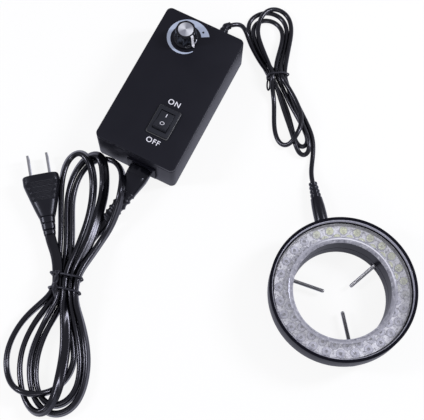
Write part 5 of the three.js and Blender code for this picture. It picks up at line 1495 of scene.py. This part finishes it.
# %% [markdown]
# The rocker switch snaps into the lid. Its frame is a shallow block with broken edges, cut through for the
# rocker, and a thin pale lip shows round it: a painted highlight, where the frame's edges catch the light.
# The rocker is one moulding with two faces that meet in a shallow valley. It is made as a flat outline seen
# from its side, given its width, and then tipped to its rest.

# %% Rocker switch
frame_size, frame_corner, frame_edge = (14.8, 20.6, 1.9), 1, 0.6
lip_size, lip_corner, lip_edge = (15.8, 21.6, 0.5), 1.2, 0.2
frame_window, lip_window = (10.2, 14.6), (13, 19)
frame_gap, lip_gap = 0.05, 0.02


def window_frame(piece, window_size, gap):
    """Places a block over the lid and cuts a window through it."""
    window = block("window", *window_size, lid_cut)
    move(piece, on_lid(switch_x, switch_y, box_height + gap))
    combine("DIFFERENCE", piece, move(window, on_lid(switch_x, switch_y, lid_cut_foot)))
    return smooth(piece, 20)


switch_frame = block("switch_frame", *frame_size, frame_corner, frame_edge)
switch_lip = block("switch_lip", *lip_size, lip_corner, lip_edge, 2)
window_frame(switch_frame, frame_window, frame_gap)
window_frame(switch_lip, lip_window, lip_gap)
# The lip's pale grey is a painted highlight round the frame.
wear(switch_lip, painted_highlight_lip)
wear(switch_frame, rocker_black)
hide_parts("switch_body")

rocker_tilt = math.radians(-10.7)
rocker_width, rocker_radius, wing_degrees, valley_height = 9.6, 6.95, 27, 1.95
rocker_place = on_lid(switch_x, switch_y, box_height) @ upright(rocker_tilt)
side_view = [(0, valley_height), *arc(0, 0, rocker_radius, wing_degrees, -31, 14),
             *arc(0, 0, rocker_radius, 211, 180 - wing_degrees, 14)]
clear()
bpy.ops.mesh.primitive_circle_add(vertices=len(side_view), radius=1, fill_type="NGON")
rocker = named("rocker")
for point, (y, z) in zip(rocker.data.vertices, side_view):
    point.co = (rocker_width / 2 * mm, y * mm, z * mm)
edit(rocker, "FACE")
bpy.ops.mesh.select_all(action="SELECT")
bpy.ops.mesh.extrude_region_move(TRANSFORM_OT_translate={"value": (-rocker_width * mm, 0, 0)})
bevel(tidy(done(rocker)), 0.22, 2, 25)
smooth(move(rocker, rocker_place), 30)
wear(rocker, rocker_black, "rocker")
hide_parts("switch_rocker")
show_faces(switch_frame, switch_lip, rocker)

# %% [markdown]
# The rocker's signs are filled with white: a bar for on and a ring for off. They lie on its two
# sloping faces, so each is placed on a slope. Three tiny moulded pips at the ring's end can be felt
# with a finger.

# %% Signs on the rocker
wing = math.radians(wing_degrees)
wing_end, wing_start, sign_height = 7, 2, 1.97
face_slope = math.atan2(wing_end * math.sin(wing) - wing_start, wing_end * math.cos(wing))


def on_rocker(y, side, x=0):
    """A place on the sloping face of one side of the rocker, at a distance along it."""
    z = sign_height + y * math.tan(face_slope)
    return rocker_place @ Matrix.Translation((x * mm, side * y * mm, z * mm)) @ upright(side * face_slope)


bar_x, bar_y, bar_reach = 0.25, 1.2, 3.9
sign_inner, sign_outer, sign_reach = 1.15, 1.5, 2.5
pip_radius, pip_height, pip_rim, pip_reach, pip_pitch = 0.28, 0.22, 0.1, 5.6, 1.4
bar_corners = [(-bar_x, -bar_y), (bar_x, -bar_y), (bar_x, bar_y), (-bar_x, bar_y)]
sign_corners = [(sign_inner, 0), (sign_outer, 0), (sign_outer, ink_height), (sign_inner, ink_height)]
bar = flat_shape("rocker_bar", bar_corners, on_rocker(bar_reach, 1))
sign_ring = move(turned("rocker_ring", sign_corners, 32), on_rocker(sign_reach, -1))
pips = []
for x in (-pip_pitch, 0, pip_pitch):
    pips.append(move(rod("pip", pip_radius, pip_height, pip_rim, 12), on_rocker(pip_reach, -1, x)))
rocker_pips = smooth(gather("rocker_pips", pips))
for piece, finish in ((bar, print_white), (sign_ring, print_white), (rocker_pips, knob_black)):
    wear(piece, finish, "rocker")
show_faces(bar, sign_ring, rocker_pips)

# %% [markdown]
# The dimmer's knob is a satin moulding with eight wide flutes. A white line runs down its side as its
# pointer. On top a spun aluminium disc is pressed in: its turning marks catch the light in a bright
# hourglass, which is painted into the disc's colour and so turns with the knob.

# %% Knob
knob_turn = math.radians(-25)
knob_foot = box_height + 0.4
pointer_half_width, pointer_edge = 0.85, 0.12
knob_place = on_lid(knob_x, knob_y, knob_foot) @ Matrix.Rotation(knob_turn, 4, "Z")
knob_levels = [(8.1, 0, 0), (8.3, 0.2, 0), (8.3, 1.5, 0), (8.15, 1.75, 0.1), (7.7, 2.1, 0.6),
               (7.5, 2.5, 0.75), (7.25, 6, 0.75), (7.05, 10.5, 0.7), (7, 11.5, 0.6), (6.85, 12, 0.35),
               (6.6, 12.3, 0.15), (6.2, 12.45, 0.05), (5.2, 12.45, 0), (5.1, 12.1, 0)]
pointer_path = [
    (6.2, 12.52), (6.75, 12.3), (7.02, 11.7), (7.1, 10.5), (7.32, 6), (7.6, 2.6), (7.75, 2.2), (8.2, 1.9),
    (8.38, 1.6), (8.38, 0.3),
]
cap_outline = [
    (0, 12.05), (5.1, 12.05), (5.1, 12.6), (4.95, 12.78), (4.7, 12.85), (0.6, 12.85), (0.35, 12.8),
    (0, 12.78),
]
knob = moulded("knob", [toothed(*level, teeth=8, sharpness=0.7) for level in knob_levels], 192)
smooth(move(knob, knob_place), 30)
quarter_turns = [-math.pi / 2] * len(pointer_path)
pointer = line_curve("knob_pointer", [(r * mm, 0, z * mm) for r, z in pointer_path], quarter_turns)
pointer.data.extrude = pointer_half_width * mm
pointer.data.bevel_depth = pointer_edge * mm
pointer.data.bevel_resolution = 1
pointer.data.use_fill_caps = True
pointer.data.twist_mode = "Z_UP"
pointer = smooth(move(as_mesh(pointer), knob_place), 30)
cap = smooth(move(turned("knob_cap", cap_outline, 96), knob_place), 20)
show_faces(knob, pointer, cap)

# %% [markdown]
# Spun metal has fine rings round its middle, and its light gathers in two opposite wedges. Both come from the
# place on the disc: the angle round the middle makes the wedges, which are a painted highlight and painted
# shade in the colour, and the distance from it makes the rings.

# %% Spun aluminium
def painted_light_wedges(tree, place):
    """A painted highlight where twice the angle round the middle points one way, painted shade where it
    points the other.
    """
    split = add_node(tree, "ShaderNodeSeparateXYZ", {"Vector": place}).outputs
    angle = calculated(tree, "ARCTAN2", split["Y"], split["X"])
    wedge_turn = 1.1
    wedge = calculated(tree, "COSINE", calculated(tree, "MULTIPLY_ADD", angle, 2, wedge_turn))
    ramp = add_node(tree, "ShaderNodeValToRGB", {"Fac": calculated(tree, "MULTIPLY_ADD", wedge, 0.5, 0.5)})
    dark, pale = ramp.color_ramp.elements
    dark.position, dark.color = 0.15, (0.36, 0.37, 0.42, 1)
    pale.position, pale.color = 0.95, (0.93, 0.95, 1, 1)
    return ramp.outputs["Color"]


def spun_metal():
    material = bpy.data.materials.new("spun_aluminium")
    material.use_nodes = True
    tree = material.node_tree
    groove_width, groove_depth = 0.22 * mm, 0.1 * mm
    middle_roughness, groove_roughness = 0.34, 0.06
    place = add_node(tree, "ShaderNodeTexCoord", {}).outputs["Object"]
    apart = {0: place, 1: knob_place.translation}
    from_middle = add_node(tree, "ShaderNodeVectorMath", apart, operation="SUBTRACT").outputs["Vector"]
    distance = add_node(tree, "ShaderNodeVectorMath", {0: from_middle}, operation="LENGTH").outputs["Value"]
    groove = calculated(tree, "SINE", calculated(tree, "MULTIPLY", distance, full_turn / groove_width))
    # The base colour carries the painted highlight wedges and their painted shade.
    set_inputs(tree, tree.nodes["Principled BSDF"], {
        "Metallic": 0.6,
        "Base Color": painted_light_wedges(tree, from_middle),
        "Roughness": calculated(tree, "MULTIPLY_ADD", groove, groove_roughness, middle_roughness),
        "Normal": bumped(tree, 0.08, groove_depth, groove),
    })
    return material


spun_aluminium = spun_metal()
wear(knob, knob_black, "knob")
wear(pointer, print_white, "knob")
wear(cap, spun_aluminium, "knob")
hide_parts("dimmer_knob")
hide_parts("dimmer_knob_cap")
print("the knob wears:", knob_black.name, print_white.name, spun_aluminium.name)

# %% [markdown]
# The connector in the mains inlet is a soft overmoulding: a squarish grip that narrows to a waist,
# and behind it a ribbed sleeve that lets the cord bend without breaking. Each is one ring of points
# carried from section to section.

# %% Connector and its ribbed sleeve
def section_frame(points, number):
    before = points[max(number - 1, 0)]
    after = points[min(number + 1, len(points) - 1)]
    along = (after - before).normalized()
    across = along.cross(up).normalized()
    return across, across.cross(along)


def body_along(name, stations, points=48):
    """A moulded body through stations of (place, width, tallness, squareness) in millimetres."""
    places = [station[0] for station in stations]
    sections = []
    for number, (place, width, tallness, corner) in enumerate(stations):
        across, upward = section_frame(places, number)
        half_width, half_height = width * mm / 2, tallness * mm / 2
        sections.append(oval(from_ring(*place), across, upward, half_width, half_height, corner))
    return moulded(name, sections, points)


def wave_of(share, count):
    """A smooth wave from 0 to 1 and back, a number of times over the whole share."""
    return 0.5 - 0.5 * math.cos(share * count * full_turn)


grip_stations = [
    (1.85, 13.9, 8.6, 0.6), (1.95, 14.9, 9.7, 0.6), (2.4, 15.5, 10.3, 0.65), (7.5, 15.4, 10.4, 0.7),
    (8, 15.2, 10.1, 0.7), (8.3, 15.2, 10.1, 0.7), (8.8, 15.3, 10.3, 0.7), (12, 14.1, 9.9, 0.72),
    (16, 12.4, 8.9, 0.75), (19.5, 11, 8, 0.78), (20.6, 10.7, 7.7, 0.72), (20.95, 10.1, 7.2, 0.75),
]
connector = body_along("connector_body", [
    (on_box(inlet_x, -box_length / 2 - reach, inlet_height), *section) for reach, *section in grip_stations
])
wear(connector, gloss_black)
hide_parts("mains_connector")

relief_way = smooth_route([
    relief_start, relief_start - box_along * relief_bow, relief_middle,
    relief_end - relief_out * relief_bow, relief_end,
], 0.35)
relief_stations = []
ribs, rib_depth, plain_share = 6, 1.25, 0.06
sleeve_widths, sleeve_tallnesses = (10.8, 8.8), (7.4, 5)
for number, place in enumerate(relief_way):
    share = number / (len(relief_way) - 1)
    ribbed_share = min(max((share - plain_share) / (1 - 2 * plain_share), 0), 1)
    ribbed = plain_share < share < 1 - plain_share
    groove = rib_depth * min(1, wave_of(ribbed_share, ribs) * 1.6) if ribbed else 0
    end_round = 0.4 if share in (0, 1) else 0
    width = between(*sleeve_widths, share) - 2 * groove * 0.8 - end_round
    tallness = between(*sleeve_tallnesses, share) - 2 * groove * 0.5 - end_round
    relief_stations.append((place, width, tallness, 0.7))
connector_sleeve = body_along("connector_sleeve", relief_stations)
wear(connector_sleeve, soft_black)
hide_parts("connector_strain_relief")
show_faces(connector, connector_sleeve)

# %% [markdown]
# The mains plug is moulded onto the flat cord. Its sleeve has deep grooves, its body widens to the
# pin end, and fine grip ridges run across both faces.

# %% Mains plug
tail_length, tail_steps, tail_grooves, groove_depth = 12, 48, 2.6, 1.1
tail_widths, tail_tallnesses = (7.6, 10.2), (6, 8.8)
body_start, body_length, body_steps = 12.2, 28.8, 120
body_widths, body_tallnesses = (10.6, 24.2), (9, 13.6)
grip_start_share, grip_end_share, grip_ridges, grip_depth = 0.36, 0.86, 16, 0.22
plug_stations = []
for k in range(tail_steps + 1):
    share = k / tail_steps
    wave = (share * tail_grooves + 0.25) % 1
    groove = groove_depth * max(0, 1 - abs(wave - 0.9) / 0.12) if share > 0.05 else 0
    width = between(*tail_widths, share) - 2 * groove
    tallness = between(*tail_tallnesses, share) - groove * 1.2
    plug_stations.append((plug_tail + plug_along * share * tail_length, width, tallness, 0.75))
for k in range(body_steps + 1):
    share = k / body_steps
    flare = min(share * 1.25, 1)
    gripped = grip_start_share < share < grip_end_share
    grip_share = (share - grip_start_share) / (grip_end_share - grip_start_share)
    grip = grip_depth * wave_of(grip_share, grip_ridges) if gripped else 0
    end_round = 0.9 * max(0, (share - 0.96) / 0.04) ** 2
    place = plug_tail + plug_along * (body_start + share * body_length)
    width = between(*body_widths, flare ** 0.9) - end_round
    tallness = between(*body_tallnesses, flare ** 0.8) - 2 * grip - end_round
    plug_stations.append((place, width, tallness, between(0.75, 0.5, flare)))
mains_plug = body_along("mains_plug", plug_stations, 64)
wear(mains_plug, soft_black)
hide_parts("mains_plug_body")
show_faces(mains_plug)

# %% [markdown]
# The low-voltage plug pushes into the ring's socket. It is turned from one outline: a smooth grip
# and four soft rings behind it.

# %% Low-voltage plug
lamp_plug_start, soft_rings, ring_pitch = 46.3, 4, 2.75
grip_end_radius, tail_radius, grip_end = 3.8, 2.9, 22
lamp_plug_corners = [(2.6, 0.1), (4.1, 0), (4.4, 0.25), (4.5, 0.7), (4.55, 11), (4.4, 16), (3.95, 21.2),
                     (grip_end_radius, grip_end)]
soft_ring = ((0.3, 0.35), (0.32, 0.8), (0.08, 1.15), (0, 1.7), (0, 2.3), (0.12, 2.65))
for k in range(soft_rings):
    start = grip_end + k * ring_pitch
    radius = between(grip_end_radius, tail_radius, (k + 1) / soft_rings)
    lamp_plug_corners += [(radius - depth, start + height) for depth, height in soft_ring]
lamp_plug_corners += [(0, 32.9), (0, 0.1)]
lamp_plug = turned("lamp_plug", lamp_plug_corners, 48)
smooth(laid_along_x(lamp_plug, lamp_plug_start, lamp_plug_height, lamp_plug_turn), 40)
wear(lamp_plug, gloss_black)
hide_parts("lamp_plug_body")
show_faces(lamp_plug)

# %% [markdown]
# The gland holds the low-voltage lead in the box's far wall. A turned base sits in the wall, and a
# soft sleeve with three shallow grooves bends with the lead.

# %% Gland on the box
gland_base = turned("gland_base", [
    (0, -4.1), (4.7, -4.1), (4.7, -2.5), (3.2, -2.5), (3.2, 0.3), (4.1, 0.3), (4.3, 0.5), (4.3, 2.4),
    (4.1, 2.7), (3.6, 3.2), (3.5, 3.6), (3.3, 5.2), (0, 5.2),
], 48)
move(gland_base, on_lid(gland_x, box_length / 2, gland_height) @ upright(-math.pi / 2))
gland_way = smooth_route([
    on_box(gland_x, box_length / 2 + 4, gland_height), on_box(gland_x, box_length / 2 + 7, gland_height),
    gland_end - gland_out * 2.4, gland_end,
], 0.3)
gland_stations = []
gland_widths, gland_groove, gland_grooves = (6.8, 5), 0.8, 3
for number, place in enumerate(gland_way):
    share = number / (len(gland_way) - 1)
    width = between(*gland_widths, share) - gland_groove * wave_of(share, gland_grooves)
    gland_stations.append((place, width, width, 1))
gland = smooth(gather("gland_sleeve", [gland_base, body_along("gland_relief", gland_stations, 32)]), 40)
wear(gland, soft_black)
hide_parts("lamp_lead_gland")
show_faces(gland)

# %% [markdown]
# What hides inside keeps the model's own shapes. Each still gets a finish with its own grain, so
# that the box can be opened for another picture.

# %% Finishes of the kept pieces
board_green = plastic("board_green", (0.03, 0.12, 0.06), (0.05, 0.17, 0.09), 0.35, 0.12, 700, 0.1)
winding_tape = plastic("winding_tape", (0.6, 0.42, 0.06), (0.66, 0.5, 0.12), 0.3, 0.12, 600, 0.08)
can_black = plastic("can_black", (0.02, 0.02, 0.03), (0.04, 0.04, 0.055), 0.25, 0.1, 900, 0.03)
kept = (
    (nickel, "lamp_socket lamp_plug_barrel mains_inlet_pin_1 mains_inlet_pin_2"),
    (nickel, "mains_plug_blade_1 mains_plug_blade_2 dimmer_potentiometer dimmer_nut dimmer_shaft"),
    (blackened, "threaded_bush_1 threaded_bush_2 threaded_bush_3"),
    (dark_steel, "box_screw_1 box_screw_2 box_screw_3 box_screw_4"),
    (brass, "switch_terminal_1 switch_terminal_2"),
    (ring_black, "mains_inlet"),
    (board_green, "circuit_board"),
    (winding_tape, "transformer"),
    (can_black, "bulk_capacitor"),
    (heatsink_metal, "heatsink"),
)
for material, nodes in kept:
    for node in nodes.split():
        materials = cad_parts[node].data.materials
        materials.clear()
        materials.append(material)
    print(material.name, "on", nodes)

# %% [markdown]
# A lead's length is measured along its own middle line.


print("leads declared, mm:", round(length_of(mains_way)), round(length_of(lamp_way)))

# %% [markdown]
# A product picture on white: a pale floor that only shows where it is shaded. What looks at the floor
# directly or in a polished or clear surface sees white paper. Black plastic mirrors that paper a
# little cooler than the camera sees it.

# %% Floor
clear()
bpy.ops.mesh.primitive_plane_add(size=4, location=(0, 0, 0))
floor = named("floor")
floor_white = bpy.data.materials.new("floor_white")
floor_white.use_nodes = True
floor_tree = floor_white.node_tree
floor_shader = set_inputs(floor_tree, floor_tree.nodes["Principled BSDF"], {
    "Base Color": (0.9, 0.9, 0.9, 1), "Roughness": 0.8, "Specular IOR Level": 0.2,
})
paper_share = 0.88
seen = any_ray(floor_tree, "Is Camera Ray", "Is Glossy Ray", "Is Transmission Ray")
cool = mixed(floor_tree, any_ray(floor_tree, "Is Glossy Ray"), (1, 1, 1, 1), (0.82, 0.83, 1, 1))
paper = add_node(floor_tree, "ShaderNodeEmission", {"Color": cool, "Strength": 1})
show_both(
    floor_tree, calculated(floor_tree, "MULTIPLY", seen, paper_share),
    floor_shader.outputs["BSDF"], paper.outputs["Emission"],
)
floor.data.materials.append(floor_white)
print("floor:", floor.name, "with", floor_white.name)

# %% [markdown]
# The lights are large and soft. The key light hangs on the right, low enough to draw a line along the
# box's side. The world is a soft cool grey.

# %% Lights and world
def soft_light(name, place, target, width, height, power, tint):
    data = bpy.data.lights.new(name, "AREA")
    data.shape = "RECTANGLE"
    data.size = width
    data.size_y = height
    data.energy = power
    data.color = tint
    light = bpy.data.objects.new(name, data)
    bpy.context.scene.collection.objects.link(light)
    light.location = place
    light.rotation_euler = (Vector(target) - Vector(place)).to_track_quat("-Z", "Y").to_euler()


middle, left_of_middle = (0, 0, 0.02), (-0.05, 0, 0.02)
soft_light("key_light", (0.75, 0.22, 0.75), middle, 0.17, 0.36, 7.4, (0.93, 0.93, 1))
soft_light("front_light", (0.15, -0.95, 0.75), middle, 0.7, 0.35, 2.6, (0.96, 0.96, 1))
soft_light("left_light", (-0.85, -0.1, 0.7), left_of_middle, 0.15, 0.3, 4.6, (0.93, 0.93, 1))

world = bpy.data.worlds.new("white_world")
bpy.context.scene.world = world
world.use_nodes = True
background = world.node_tree.nodes["Background"]
set_inputs(world.node_tree, background, {"Color": (0.92, 0.92, 1, 1), "Strength": 0.4})
bpy.context.scene.view_settings.view_transform = "Standard"
